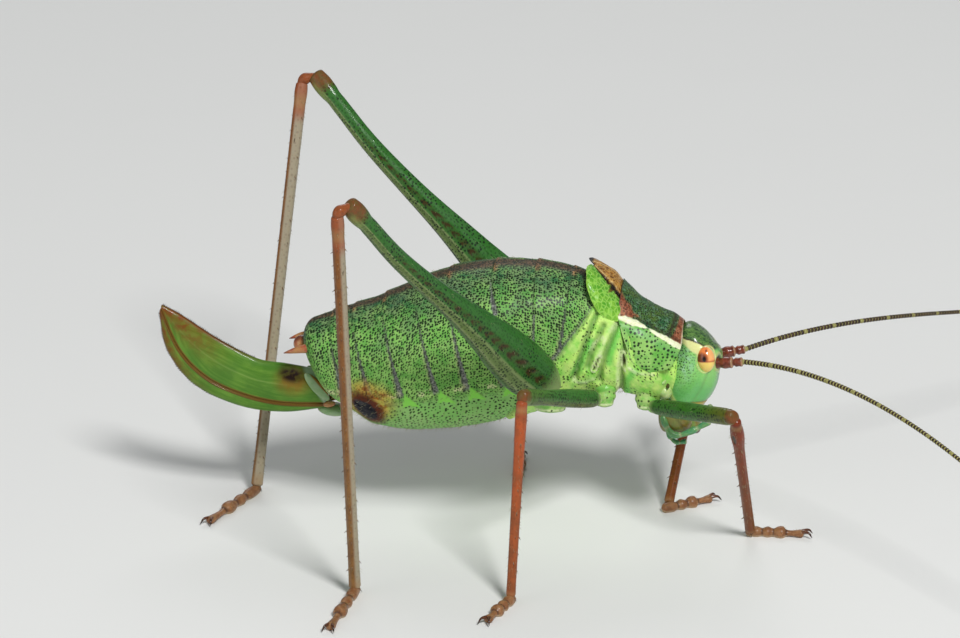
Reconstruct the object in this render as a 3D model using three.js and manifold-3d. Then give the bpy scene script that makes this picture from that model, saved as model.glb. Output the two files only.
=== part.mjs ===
// Adult female speckled bush-cricket with a saw-edged ovipositor, standing still, at life size.
// Millimetres, +Z up, head towards +X, the insect's right side towards -Y, feet on the floor.
import * as THREE from 'three';
import { mergeVertices } from 'three/addons/utils/BufferGeometryUtils.js';
import Module from 'manifold-3d';

const wasm = await Module();
wasm.setup();

const { clamp, degToRad, lerp } = THREE.MathUtils;

// ---------------------------------------------------------------- Driving dimensions

const seam = 0.08; // clear gap where two pieces meet
const weld = 0.001; // vertices closer than this are one
const trunkSides = 20;
const limbSides = 8;
const footSides = 6;
const cutReach = 6; // half width of the blocks that part the trunk
const roof = 14.5; // height above every border between trunk pieces
const thoraxRoof = 13; // the same over the thorax, below where its two borders would cross
const cellar = 3; // height below them all

// Trunk: height of its axis, half height and half width, along X
const axisHeight = profile([-8.3, 7.5], [-6.8, 7.68], [-5.2, 7.74], [-3.6, 8.0], [-1.6, 8.5], [0.6, 8.95],
  [2.6, 9.3], [4.6, 9.5], [6.0, 9.36], [7.4, 9.0], [9.5, 8.2]);
const halfHeight = profile([-8.3, 1.55], [-7.6, 1.85], [-6.6, 2.28], [-4.9, 3.02], [-2.6, 3.65], [-0.4, 3.88],
  [1.6, 3.75], [3.7, 3.34], [5.2, 2.86], [6.8, 2.42], [8.2, 2.24], [9.5, 1.9]);
const halfWidth = profile([-8.3, 1.35], [-6.6, 2.0], [-4.4, 2.78], [-1.5, 3.34], [0.8, 3.25], [3.6, 2.62],
  [6.8, 2.05], [8.4, 1.92], [9.5, 1.6]);
const trunkSquareness = 2.15;
const trunkStart = -7.9;
const trunkEnd = 9.4;
const trunkStep = 1.45;
const trunkTail = [[0, 0], [0, 0.55], [0.1, 0.8], [0.32, 0.94]]; // rounded rear end: distance along, size
const trunkShoulder = 0.7; // distance along where it reaches its full size
const rearLean = 25; // lean of the rear face in degrees, top backwards
const rearLeanFrom = -5; // the lean fades out here

// Borders across the trunk: a point on each and its lean in degrees, top backwards
const borders = [
  { x: -6.35, z: 7.7, lean: 15 },
  { x: -5.0, z: 7.7, lean: 19 },
  { x: -3.5, z: 8.0, lean: 18 },
  { x: -1.85, z: 8.4, lean: 18 },
  { x: -0.4, z: 8.7, lean: 16 },
  { x: 1.35, z: 9.0, lean: 10 },
  { x: 2.85, z: 9.3, lean: 3 },
];
const firstBorder = { x: 4.0, z: 9.5, lean: -6 };
const waist = { x: 3.85, z: 9.25, lean: -35 }; // where the thorax meets the abdomen above this point
const wedgeLift = 0.5; // the first segment is a wedge that starts this far above the waist
const thoraxFront = 6.95;
const neckStart = 8.5;

// Saddle of the pronotum, from the side
const saddleLift = 0.14;
const saddle = [[6.72, 12.6], [6.5, 11.3], [6.72, 10.4], [7.02, 9.55], [7.32, 8.84], [8.12, 8.4],
  [8.86, 8.52], [9.3, 9.1], [9.5, 9.75], [9.42, 11.0]];
const saddleMiddle = [8, 10.3];
const saddleSeam = 1.4 * seam; // its outline is grown from the middle, so slanted edges need a little more

// Head: front, back and half width, by height
const headTop = 10.12;
const headFoot = 5.75;
const headFront = profile([5.6, 10.2], [6.1, 10.4], [6.8, 10.9], [7.4, 11.15], [7.9, 11.3], [8.5, 11.34],
  [9.0, 11.13], [9.56, 10.67], [9.97, 10.25], [10.2, 10.0]);
const headBack = profile([5.6, 9.0], [6.4, 8.86], [7.2, 8.76], [7.9, 8.86], [9.0, 9.1], [9.8, 9.24],
  [10.2, 9.5]);
const headWidth = profile([5.6, 0.85], [6.2, 1.12], [6.9, 1.32], [7.6, 1.42], [8.3, 1.4], [9.0, 1.3],
  [9.5, 1.18], [9.9, 1.0], [10.2, 0.84]);
const headSquareness = 2.25;
const headSides = 16;
const headSpans = 5;
const headWall = [0.18, 0.9]; // shares of the height between which it is full size
const headChin = [[0, 0], [0, 0.75], [0.05, 0.96]]; // rounded lower end: share of the height, size
const headCrown = [[0.955, 0.86], [0.985, 0.6], [1, 0]];

const eye = { centre: [10.55, 1.16, 8.64], half: [0.45, 0.42, 0.62], lean: 4 };
const eyeGrid = [12, 8]; // sides and rings
const headRoll = 8; // degrees, crown turned to the insect's left
const headPivot = 8.2; // height of the line that the head is rolled about
const labrum = { centre: [9.86, 0, 5.42], half: [0.4, 0.56, 0.8], lean: 28 };
const jaw = { centre: [9.2, 0.62, 5.72], half: [0.78, 0.52, 0.95], lean: 18 };
const labium = { centre: [8.72, 0, 5.5], half: [0.36, 0.66, 0.78], lean: 0 };
const labiumGrid = [6, 5];
const neck = { centre: [8.9, 0, 7.9], half: [0.75, 1.25, 1.5] };
const neckGrid = [8, 5];
const jawParting = [[8, 4], [11, 4], [11, 7], [8, 7]]; // the thin cut between the two jaws, from the side
const palpPath = [[8.45, 0.95, 5.85], [8.6, 1.15, 5.28], [9.0, 1.2, 4.82], [9.95, 1.1, 5.08],
  [10.95, 0.9, 5.6]];
const palpRadius = 0.24;
const palpSwell = profile([0, 0.9], [0.12, 1.05], [0.22, 0.85], [0.4, 1.05], [0.52, 0.85], [0.75, 0.95],
  [1, 0.75]);
const palpRows = 10;
const palpSides = 6;

// Antennae: a scape and pedicel, then a whip that swings outwards and back, as angles along its length
const antenna = {
  root: [10.95, 0.6, 8.42],
  whipRoot: [12.34, 0.85, 8.64],
  baseRadius: 0.27,
  whipRadius: 0.25,
  length: 34,
  middle: 15.5, // length at which the whip is divided
  rows: [11, 12], // of its near and far part
  stride: 0.5,
  baseRows: 6,
  sides: 6,
  heading: 32, // degrees outwards at its root
  swing: 1.3, // degrees outwards for each millimetre
  swingBack: 2.9, // lost again for each millimetre past the bend
  bend: 16.5,
  pitch: 9.3, // degrees upwards at its root
  droop: 2.8, // degrees lost for each millimetre
  recover: 0.09, // and won back for each square millimetre
};

const antennaSwell = profile([0, 1], [0.5, 1.1], [0.66, 0.86], [0.85, 1], [1, 0.9]); // scape, then pedicel

// Stubby wings on the back, over the trunk's own surface: a range along X and a range of angles
const tegmen = {
  rear: 5.12,
  front: 6.9,
  low: 22,
  high: 87,
  lift: 0.06,
  thick: 0.52,
  tipLift: 0.3,
  pressed: 0.55, // share of its thickness that is left at the front, under the pronotum
  squareness: 2.6,
  flatness: 0.45, // lower is flatter, with a sharper rim
  rings: 5,
  sides: 12,
};

// Ovipositor, from the side: upper edge, ridge between the valves, lower edge
const bladeUpper = curve([-7.35, 7.15], [-9.1, 7.42], [-10.5, 7.62], [-12.3, 8.52], [-14.08, 9.68],
  [-15.0, 10.16]);
const bladeRidge = curve([-7.1, 5.6], [-9.5, 5.58], [-11.4, 5.98], [-12.9, 6.68], [-14.1, 7.95],
  [-14.98, 9.97]);
const bladeLower = curve([-6.95, 5.42], [-9.2, 5.02], [-11.4, 5.24], [-13.5, 6.22], [-14.75, 7.9],
  [-15.1, 9.84]);
const bladeHalfThickness = profile([0, 0.5], [0.25, 0.42], [0.6, 0.3], [0.9, 0.24], [1, 0.12]);
const bladeSpans = 10;
const bladeSides = 8;
const upperSquareness = 1.7;
const lowerSquareness = 1.9;

const cercus = { root: [-7.5, 0.75, 8.6], tip: [-9.1, 0.98, 8.3], radii: [0.3, 0.3, 0.27, 0.2, 0.1] };
const cercusSides = 6;
const subgenitalPlate = { centre: [-6.95, 0, 5.22], half: [0.72, 0.55, 0.3], lean: -6 };

// Each pair of legs: rows of [share of the length, depth, thickness] for the femur and the tibia.
// A bow sets the femur's middle lower, by share of the length
const pairs = {
  fore: {
    coxa: { centre: [7.85, 1.2, 6.75], half: [0.52, 0.5, 0.8] },
    femur: [[0, 0.55, 0.5], [0.08, 0.74, 0.66], [0.35, 0.88, 0.74], [0.7, 0.84, 0.7], [0.92, 0.82, 0.68],
      [1, 0.64, 0.56]],
    tibia: [[0, 0.5, 0.5], [0.06, 0.62, 0.54], [0.14, 0.68, 0.6], [0.26, 0.54, 0.5], [1, 0.52, 0.5]],
    kneeDrop: 0.12,
    kneeReach: 0.1,
    tarsus: 2.75,
  },
  mid: {
    coxa: { centre: [5.95, 1.5, 6.95], half: [0.55, 0.55, 0.8] },
    femur: [[0, 0.55, 0.5], [0.08, 0.8, 0.68], [0.35, 0.86, 0.7], [0.7, 0.72, 0.62], [0.92, 0.78, 0.62],
      [1, 0.62, 0.54]],
    tibia: [[0, 0.5, 0.5], [0.05, 0.6, 0.54], [0.3, 0.52, 0.5], [1, 0.5, 0.5]],
    kneeDrop: 0.12,
    kneeReach: 0.05,
    tarsus: 2.8,
  },
  hind: {
    coxa: { centre: [3.45, 1.75, 6.75], half: [0.95, 0.8, 0.9] },
    femur: [[0, 1.1, 0.7], [0.05, 2.0, 1.0], [0.14, 2.45, 1.2], [0.24, 2.28, 1.15], [0.35, 1.75, 1.02],
      [0.5, 1.22, 0.86], [0.66, 0.95, 0.78], [0.9, 0.8, 0.7], [0.96, 0.94, 0.72], [1, 0.78, 0.6]],
    femurBow: [[0, 0], [0.14, 0.08], [0.4, 0.12], [0.6, 0.26], [0.76, 0.28], [0.9, 0.1], [1, 0]],
    tibia: [[0, 0.56, 0.52], [0.03, 0.64, 0.58], [0.08, 0.6, 0.54], [1, 0.56, 0.52]],
    kneeDrop: 0.68,
    kneeReach: 0.34,
    tarsus: 4.7,
  },
};

// Each leg: hip, knee, ankle on the floor and the heading of the foot in degrees
const legs = [
  { name: 'fore_right', pair: 'fore', side: -1, toes: 0,
    hip: [8.15, -1.45, 6.5], knee: [12.13, -5.84, 7.82], ankle: [12.83, -0.9] },
  { name: 'fore_left', pair: 'fore', side: 1, toes: 35,
    hip: [8.15, 1.45, 6.5], knee: [9.9, 7.3, 6.5], ankle: [8.72, 1.6] },
  { name: 'mid_right', pair: 'mid', side: -1, toes: -109,
    hip: [5.65, -1.8, 6.9], knee: [2.81, -8.55, 9.5], ankle: [2.4, -10.02] },
  { name: 'mid_left', pair: 'mid', side: 1, toes: 92,
    hip: [5.65, 1.8, 6.9], knee: [1.61, 8.08, 9.16], ankle: [1.33, 5.0] },
  { name: 'hind_right', pair: 'hind', side: -1, toes: -98,
    hip: [3.68, -2.95, 7.6], knee: [-4.42, -12.47, 19.68], ankle: [-4.74, -9.6] },
  { name: 'hind_left', pair: 'hind', side: 1, toes: -112,
    hip: [3.68, 2.95, 7.6], knee: [-8.65, 8.49, 18.8], ankle: [-10.93, 1.9] },
];
const soleRadius = 0.27;
const soleLift = 0.69; // height of the foot's axis, as a share of its radius: its whole underside lies flat
const ankleHeight = 0.3; // where the tibia ends above the floor, before the foot is cut out of it
const kneeRadius = 0.22; // how far the femur goes on past the knee
const kneeJoint = { radius: 0.25, sides: 8, rows: 2 }; // arm from a hind knee to the head of its tibia
const limbCap = 0.16; // length of the rounded end of a limb
const capShoulder = { at: 0.3, size: 0.7 }; // ring of a rounded end: share of its length, size
const lobes = [[0.05, 0.9], [0.3, 0.8], [0.4, 1.06], [0.5, 0.8], [0.6, 1.1], [0.7, 0.8], [0.95, 0.9]];
const lobeWidth = profile(...lobes); // half width of the foot by share of its length, in sole radii
const claw = {
  root: 0.95, // share of the foot's length
  ahead: [0, 0.3, 0.52],
  aside: [0, 0.16, 0.3],
  height: [0.26, 0.42, 0.08],
  radii: [0.12, 0.05],
  rows: 2,
  sides: 3,
};

// ---------------------------------------------------------------- Finishes

const finishes = {
  green: { color: 0x4f8a3a, roughness: 0.45, metalness: 0 },
  paleGreen: { color: 0x8fb45a, roughness: 0.45, metalness: 0 },
  bladeGreen: { color: 0x5f8f2e, roughness: 0.3, metalness: 0 },
  redBrown: { color: 0x9a4a2a, roughness: 0.4, metalness: 0 },
  greyBrown: { color: 0x8c7358, roughness: 0.4, metalness: 0 },
  dark: { color: 0x3a2a20, roughness: 0.4, metalness: 0 },
  orange: { color: 0xd9772b, roughness: 0.15, metalness: 0 },
  amber: { color: 0xa8863a, roughness: 0.35, metalness: 0 },
};

// ---------------------------------------------------------------- Curves and closed bodies

// A smooth value between [position, value] keys, level beyond both ends
function profile(...keys) {
  const steepness = (i) => {
    const before = keys[Math.max(i - 1, 0)];
    const after = keys[Math.min(i + 1, keys.length - 1)];
    return (after[1] - before[1]) / (after[0] - before[0]);
  };
  return (at) => {
    const inside = keys.slice(1, -1);
    const i = inside.filter(([position]) => at > position).length;
    const span = keys[i + 1][0] - keys[i][0];
    const t = clamp((at - keys[i][0]) / span, 0, 1);
    const rise = t * t * (3 - 2 * t);
    const leave = t * (1 - t) * (1 - t) * span * steepness(i);
    const arrive = t * t * (t - 1) * span * steepness(i + 1);
    return lerp(keys[i][1], keys[i + 1][1], rise) + leave + arrive;
  };
}

// A curve in the plane of symmetry, through [x, z] points
function curve(...points) {
  return new THREE.CatmullRomCurve3(points.map(([x, z]) => new THREE.Vector3(x, 0, z)));
}

// The same geometry with shared corners, no collapsed faces, and its faces pointing outwards
function sealed(source) {
  source.deleteAttribute('normal');
  source.deleteAttribute('uv');
  const geometry = mergeVertices(source, weld);
  const corners = geometry.attributes.position;
  const [a, b, c] = [new THREE.Vector3(), new THREE.Vector3(), new THREE.Vector3()];
  const kept = [];
  let volume = 0;
  for (let i = 0; i < geometry.index.count; i += 3) {
    const face = [geometry.index.getX(i), geometry.index.getX(i + 1), geometry.index.getX(i + 2)];
    if (new Set(face).size === face.length) {
      a.fromBufferAttribute(corners, face[0]);
      b.fromBufferAttribute(corners, face[1]);
      c.fromBufferAttribute(corners, face[2]);
      volume += a.dot(b.cross(c));
      kept.push(face);
    }
  }
  geometry.setIndex(kept.flatMap(([p, q, r]) => (volume < 0 ? [p, r, q] : [p, q, r])));
  return geometry;
}

// A closed body of rings. Each row is [position, size]; place gives the point for a position, angle and size
function ringed(rows, sides, place) {
  const last = rows.length - 1;
  const geometry = new THREE.SphereGeometry(1, sides, last);
  const corners = geometry.attributes.position;
  for (let i = 0; i < corners.count; i += 1) {
    const polar = Math.acos(clamp(corners.getY(i), -1, 1));
    const [at, size] = rows[Math.round((polar * last) / Math.PI)];
    const angle = Math.atan2(corners.getZ(i), corners.getX(i));
    corners.setXYZ(i, ...place(at, angle, size).toArray());
  }
  return sealed(geometry);
}

// Rows at the given shares of a body's length, with a rounded cap of this size at both ends
function cappedRows(stations, cap) {
  const { at: share, size } = capShoulder;
  const between = stations.map((at) => [clamp(at, cap, 1 - cap), 1]);
  return [[0, 0], [cap * share, size], ...between, [1 - cap * share, size], [1, 0]];
}

// Evenly spaced rows of full size, both ends included
function evenRows(from, to, spans) {
  return Array.from({ length: spans + 1 }, (_, i) => [lerp(from, to, i / spans), 1]);
}

// Cosine or sine of a section that is squarer than an ellipse
function squared(value, squareness) {
  return Math.sign(value) * Math.abs(value) ** (2 / squareness);
}

// An egg: an ellipsoid whose top leans backwards, on the given side, grown outwards
function egg({ centre, half, lean = 0 }, side = 1, grow = 0, sides = 8, rings = 6) {
  const geometry = new THREE.SphereGeometry(1, sides, rings);
  geometry.rotateX(Math.PI / 2);
  geometry.scale(half[0] + grow, half[1] + grow, half[2] + grow);
  geometry.rotateY(degToRad(-lean));
  geometry.translate(centre[0], centre[1] * side, centre[2]);
  return sealed(geometry);
}

// The same point or geometry once the head is rolled
function rolled(source) {
  const turn = new THREE.Matrix4().makeTranslation(0, 0, headPivot)
    .multiply(new THREE.Matrix4().makeRotationX(degToRad(-headRoll)))
    .multiply(new THREE.Matrix4().makeTranslation(0, 0, -headPivot));
  return source.applyMatrix4(turn);
}

// A tube of round sections along a curve, with its radius by share of the length
function tube(path, radiusAt, rows, sides) {
  const frames = path.computeFrenetFrames(rows, false);
  return ringed([[0, 0], ...evenRows(0, 1, rows), [1, 0]], sides, (at, angle, size) => {
    const i = Math.round(at * rows);
    const reach = radiusAt(at) * size;
    return path.getPointAt(at)
      .addScaledVector(frames.normals[i], Math.cos(angle) * reach)
      .addScaledVector(frames.binormals[i], Math.sin(angle) * reach);
  });
}

// ---------------------------------------------------------------- Cutting and joining

function solid(geometry) {
  return new wasm.Manifold(new wasm.Mesh({
    numProp: 3,
    vertProperties: new Float32Array(geometry.attributes.position.array),
    triVerts: new Uint32Array(geometry.index.array),
  }));
}

function surface(body) {
  const mesh = body.getMesh();
  const geometry = new THREE.BufferGeometry();
  geometry.setAttribute('position', new THREE.BufferAttribute(mesh.vertProperties, 3));
  geometry.setIndex(new THREE.BufferAttribute(mesh.triVerts, 1));
  return sealed(geometry);
}

// What is left of a body once others are cut away: its largest piece
function without(body, ...others) {
  const rest = others.reduce((left, other) => left.subtract(other), body);
  return rest.decompose().sort((p, q) => q.volume() - p.volume())[0];
}

// A block right across the trunk, with its outline drawn from the side
function block(outline, reach = cutReach) {
  const shape = new THREE.Shape(outline.map(([x, z]) => new THREE.Vector2(x, z)));
  const geometry = new THREE.ExtrudeGeometry(shape, { depth: 2 * reach, bevelEnabled: false });
  geometry.rotateX(Math.PI / 2);
  geometry.translate(0, reach, 0);
  return solid(sealed(geometry));
}

// ---------------------------------------------------------------- The model and its pieces

const insect = new THREE.Group();

function add(name, finish, geometry) {
  const mesh = new THREE.Mesh(geometry, new THREE.MeshStandardMaterial(finishes[finish]));
  mesh.name = name;
  insect.add(mesh);
}

const sideName = (side) => (side < 0 ? 'right' : 'left');

// ---------------------------------------------------------------- Trunk

function trunkPoint(x, angle, size = 1, grow = 0) {
  const up = squared(Math.sin(angle), trunkSquareness) * size * (halfHeight(x) + grow);
  const out = squared(Math.cos(angle), trunkSquareness) * size * (halfWidth(x) + grow);
  const lean = Math.tan(degToRad(rearLean)) * clamp((rearLeanFrom - x) / (rearLeanFrom - trunkStart), 0, 1);
  return new THREE.Vector3(x - lean * up, out, axisHeight(x) + up);
}

function trunk(grow = 0) {
  const tail = trunkTail.map(([along, size]) => [trunkStart + along - grow, size]);
  const from = trunkStart + trunkShoulder;
  const spans = Math.round((trunkEnd - from) / trunkStep);
  const rows = [...tail, ...evenRows(from, trunkEnd, spans), [trunkEnd, 0]];
  return solid(ringed(rows, trunkSides, (x, angle, size) => trunkPoint(x, angle, size, grow)));
}

function borderAt(border, height) {
  return border.x - Math.tan(degToRad(border.lean)) * (height - border.z);
}

const wholeTrunk = trunk();
const trunkRoom = trunk(seam);

function addAbdomen() {
  const farRear = { x: trunkStart - cutReach, z: axisHeight(trunkStart), lean: 0 };
  const lines = [farRear, ...borders];
  for (let i = 0; i + 1 < lines.length; i += 1) {
    const rear = (height) => borderAt(lines[i], height) + seam / 2;
    const front = (height) => borderAt(lines[i + 1], height) - seam / 2;
    const foot = [[rear(cellar), cellar], [front(cellar), cellar]];
    const slice = block([...foot, [front(roof), roof], [rear(roof), roof]]);
    add(`abdomen_${lines.length + 1 - i}`, 'green', surface(wholeTrunk.intersect(slice)));
  }
  const third = borders[borders.length - 1];
  const rear = (height) => borderAt(third, height) + seam / 2;
  const front = (height) => borderAt(firstBorder, height) - seam / 2;
  const foot = waist.x - seam / 2;
  const step = [[foot, cellar], [foot, waist.z], [front(waist.z), waist.z]];
  const second = block([[rear(cellar), cellar], ...step, [front(roof), roof], [rear(roof), roof]]);
  add('abdomen_2', 'green', surface(wholeTrunk.intersect(second)));
  const wedgeRear = (height) => borderAt(firstBorder, height) + seam / 2;
  const wedgeFront = (height) => borderAt(waist, height) - seam / 2;
  const wedgeFoot = waist.z + wedgeLift;
  const wedge = block([[wedgeRear(wedgeFoot), wedgeFoot], [wedgeFront(wedgeFoot), wedgeFoot],
    [wedgeFront(roof), roof], [wedgeRear(roof), roof]]);
  add('abdomen_1', 'green', surface(wholeTrunk.intersect(wedge)));
}

function saddleBlock(grow) {
  return block(saddle.map(([x, z]) => {
    const across = [x - saddleMiddle[0], z - saddleMiddle[1]];
    const scale = 1 + grow / Math.hypot(...across);
    return [saddleMiddle[0] + across[0] * scale, saddleMiddle[1] + across[1] * scale];
  }));
}

const pronotum = trunk(saddleLift).intersect(saddleBlock(0));
const pronotumRoom = trunk(saddleLift + seam).intersect(saddleBlock(saddleSeam));

function addThorax() {
  const rear = (height) => borderAt(waist, height) + seam / 2;
  const back = waist.x + seam / 2;
  const front = thoraxFront - seam / 2;
  const hull = block([[back, cellar], [front, cellar], [front, thoraxRoof], [rear(thoraxRoof), thoraxRoof],
    [back, waist.z]]);
  add('thorax', 'paleGreen', surface(without(wholeTrunk.intersect(hull), pronotumRoom)));
  add('pronotum', 'green', surface(pronotum));
  const collar = block([[thoraxFront + seam / 2, cellar], [neckStart, cellar], [neckStart, roof],
    [thoraxFront + seam / 2, roof]]);
  add('prothorax', 'paleGreen', surface(without(wholeTrunk.intersect(collar), pronotumRoom)));
}

// ---------------------------------------------------------------- Wings

function addTegmen(side) {
  const middle = [(tegmen.rear + tegmen.front) / 2, (tegmen.low + tegmen.high) / 2];
  const half = [(tegmen.front - tegmen.rear) / 2, (tegmen.high - tegmen.low) / 2];
  const plate = ringed(evenRows(0, 1, tegmen.rings), tegmen.sides, (share, turn) => {
    const spread = Math.sin(share * Math.PI) ** tegmen.flatness;
    const height = Math.cos(share * Math.PI);
    const along = squared(Math.cos(turn), tegmen.squareness) * spread;
    const around = squared(Math.sin(turn), tegmen.squareness) * spread;
    const angle = degToRad(middle[1] + half[1] * around);
    const tip = tegmen.tipLift * clamp(-along, 0, 1) * clamp(around, 0, 1);
    const thick = tegmen.thick * lerp(1, tegmen.pressed, (along + 1) / 2);
    const lift = tegmen.lift + thick * (0.5 + 0.5 * height) + tip;
    const spot = trunkPoint(middle[0] + half[0] * along, angle, 1, lift);
    spot.y *= side;
    return spot;
  });
  add(`tegmen_${sideName(side)}`, 'amber', surface(without(solid(plate), trunkRoom, pronotumRoom)));
}

// ---------------------------------------------------------------- Head

function head(grow = 0) {
  const rows = [...headChin, ...evenRows(...headWall, headSpans), ...headCrown];
  return solid(ringed(rows, headSides, (share, angle, size) => {
    const z = lerp(headFoot - grow, headTop + grow, share);
    const middle = (headFront(z) + headBack(z)) / 2;
    const depth = (headFront(z) - headBack(z)) / 2 + grow;
    return rolled(new THREE.Vector3(
      middle + squared(Math.cos(angle), headSquareness) * depth * size,
      squared(Math.sin(angle), headSquareness) * (headWidth(z) + grow) * size,
      z,
    ));
  }));
}

const headRoom = head(seam);

function antennaBase(side, grow) {
  const from = new THREE.Vector3(antenna.root[0], antenna.root[1] * side, antenna.root[2]);
  const to = new THREE.Vector3(antenna.whipRoot[0], antenna.whipRoot[1] * side, antenna.whipRoot[2]);
  const radiusAt = (at) => antenna.baseRadius * antennaSwell(at) + grow;
  return solid(tube(new THREE.LineCurve3(from, to), radiusAt, antenna.baseRows, antenna.sides));
}

function addHead() {
  const jaws = [-1, 1].map((side) => solid(egg(jaw, side)));
  const jawRoom = [-1, 1].map((side) => solid(egg(jaw, side, seam)));
  const labrumBody = solid(egg(labrum));
  const labrumRoom = solid(egg(labrum, 1, seam));
  const labiumBody = solid(egg(labium, 1, 0, ...labiumGrid));
  const labiumRoom = solid(egg(labium, 1, seam, ...labiumGrid));
  const sockets = [-1, 1].map((side) => antennaBase(side, seam));
  add('head', 'green', surface(without(head(), pronotumRoom, ...sockets)));
  add('labrum', 'amber', surface(without(labrumBody, headRoom)));
  add('labium', 'amber', surface(without(labiumBody, headRoom, labrumRoom, ...jawRoom)));
  const parting = block(jawParting, seam / 2);
  const collarStart = neckStart + seam;
  const collar = block([[collarStart, cellar], [trunkEnd, cellar], [trunkEnd, roof], [collarStart, roof]]);
  const neckBody = solid(egg(neck, 1, 0, ...neckGrid)).intersect(collar);
  add('neck', 'paleGreen', surface(without(neckBody, headRoom, pronotumRoom, labiumRoom, ...jawRoom)));
  for (const side of [-1, 1]) {
    const label = sideName(side);
    const index = side < 0 ? 0 : 1;
    const ball = solid(rolled(egg(eye, side, 0, ...eyeGrid)));
    add(`eye_${label}`, 'orange', surface(without(ball, headRoom)));
    add(`mandible_${label}`, 'amber', surface(without(jaws[index], headRoom, labrumRoom, parting)));
    const path = new THREE.CatmullRomCurve3(palpPath.map(([x, y, z]) => new THREE.Vector3(x, y * side, z)));
    const palp = solid(tube(path, (at) => palpRadius * palpSwell(at), palpRows, palpSides));
    const rooms = [headRoom, labrumRoom, labiumRoom, jawRoom[index]];
    add(`palp_${label}`, 'paleGreen', surface(without(palp, ...rooms)));
  }
}

// ---------------------------------------------------------------- Antennae

function whipPath(side) {
  const { stride } = antenna;
  const spot = new THREE.Vector3(...antenna.whipRoot);
  const spots = [];
  for (let run = 0; run <= antenna.length; run += stride) {
    spots.push(new THREE.Vector3(spot.x, spot.y * side, spot.z));
    const middle = run + stride / 2;
    const past = Math.max(middle - antenna.bend, 0);
    const heading = degToRad(antenna.heading + antenna.swing * middle - antenna.swingBack * past);
    const pitch = degToRad(antenna.pitch - antenna.droop * middle + antenna.recover * middle ** 2);
    spot.x += stride * Math.cos(heading) * Math.cos(pitch);
    spot.y += stride * Math.sin(heading) * Math.cos(pitch);
    spot.z += stride * Math.sin(pitch);
  }
  return spots;
}

function addAntenna(side) {
  const label = sideName(side);
  const base = antennaBase(side, 0);
  add(`antenna_base_${label}`, 'redBrown', surface(base));
  const whip = new THREE.CatmullRomCurve3(whipPath(side));
  const share = antenna.middle / antenna.length;
  const gap = seam / antenna.length;
  const lengths = [
    [gap, share - gap / 2, 'near', antenna.rows[0]],
    [share + gap / 2, 1, 'far', antenna.rows[1]],
  ];
  for (const [from, to, part, rows] of lengths) {
    const spots = Array.from({ length: rows + 1 }, (_, i) => whip.getPointAt(lerp(from, to, i / rows)));
    const path = new THREE.CatmullRomCurve3(spots);
    const body = tube(path, () => antenna.whipRadius, rows, antenna.sides);
    add(`antenna_${part}_${label}`, 'dark', body);
  }
}

// ---------------------------------------------------------------- Tail

function valve(edge, otherEdge, squareness, grow) {
  const rows = [[0, 0], ...evenRows(0, 1, bladeSpans), [1, 0]];
  return solid(ringed(rows, bladeSides, (at, angle, size) => {
    const top = edge.getPoint(at);
    const foot = otherEdge.getPoint(at);
    const across = top.clone().sub(foot);
    const half = across.length() / 2 - seam / 2 + grow;
    const rise = squared(Math.sin(angle), squareness) * size * half;
    const out = squared(Math.cos(angle), squareness) * size * (bladeHalfThickness(at) + grow);
    const spot = top.lerp(foot, 0.5).addScaledVector(across.normalize(), rise);
    return spot.setY(out);
  }));
}

const upperValve = (grow) => valve(bladeUpper, bladeRidge, upperSquareness, grow);
const lowerValve = (grow) => valve(bladeRidge, bladeLower, lowerSquareness, grow);

function addTail() {
  const rooms = [upperValve(seam), lowerValve(seam)];
  add('ovipositor_upper', 'bladeGreen', surface(without(upperValve(0), trunkRoom)));
  add('ovipositor_lower', 'bladeGreen', surface(without(lowerValve(0), trunkRoom)));
  const plate = solid(egg(subgenitalPlate));
  add('subgenital_plate', 'paleGreen', surface(without(plate, trunkRoom, ...rooms)));
  for (const side of [-1, 1]) {
    const from = new THREE.Vector3(cercus.root[0], cercus.root[1] * side, cercus.root[2]);
    const to = new THREE.Vector3(cercus.tip[0], cercus.tip[1] * side, cercus.tip[2]);
    const last = cercus.radii.length - 1;
    const radiusAt = (at) => cercus.radii[Math.round(at * last)];
    const cone = tube(new THREE.LineCurve3(from, to), radiusAt, last, cercusSides);
    add(`cercus_${sideName(side)}`, 'redBrown', surface(without(solid(cone), trunkRoom, ...rooms)));
  }
}

// ---------------------------------------------------------------- Legs

// A limb between two points, deep in the plane that it bends in; a bow sets its middle lower
function limb(from, to, bend, rows, grow = 0, bow = [[0, 0], [1, 0]]) {
  const along = to.clone().sub(from).normalize();
  const thick = bend.clone().normalize();
  const deep = thick.clone().cross(along);
  const length = from.distanceTo(to);
  const depthAt = profile(...rows.map(([at, depth]) => [at, depth]));
  const thicknessAt = profile(...rows.map(([at, , thickness]) => [at, thickness]));
  const bowAt = profile(...bow);
  const cap = limbCap / length;
  return solid(ringed(cappedRows(rows.map(([at]) => at), cap), limbSides, (at, angle, size) => {
    const past = size < 1 ? grow * Math.sign(at - 0.5) : 0;
    const spot = from.clone().lerp(to, at).addScaledVector(along, past);
    spot.addScaledVector(deep, Math.cos(angle) * size * (depthAt(at) / 2 + grow) + bowAt(at));
    return spot.addScaledVector(thick, Math.sin(angle) * size * (thicknessAt(at) / 2 + grow));
  }));
}

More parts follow.
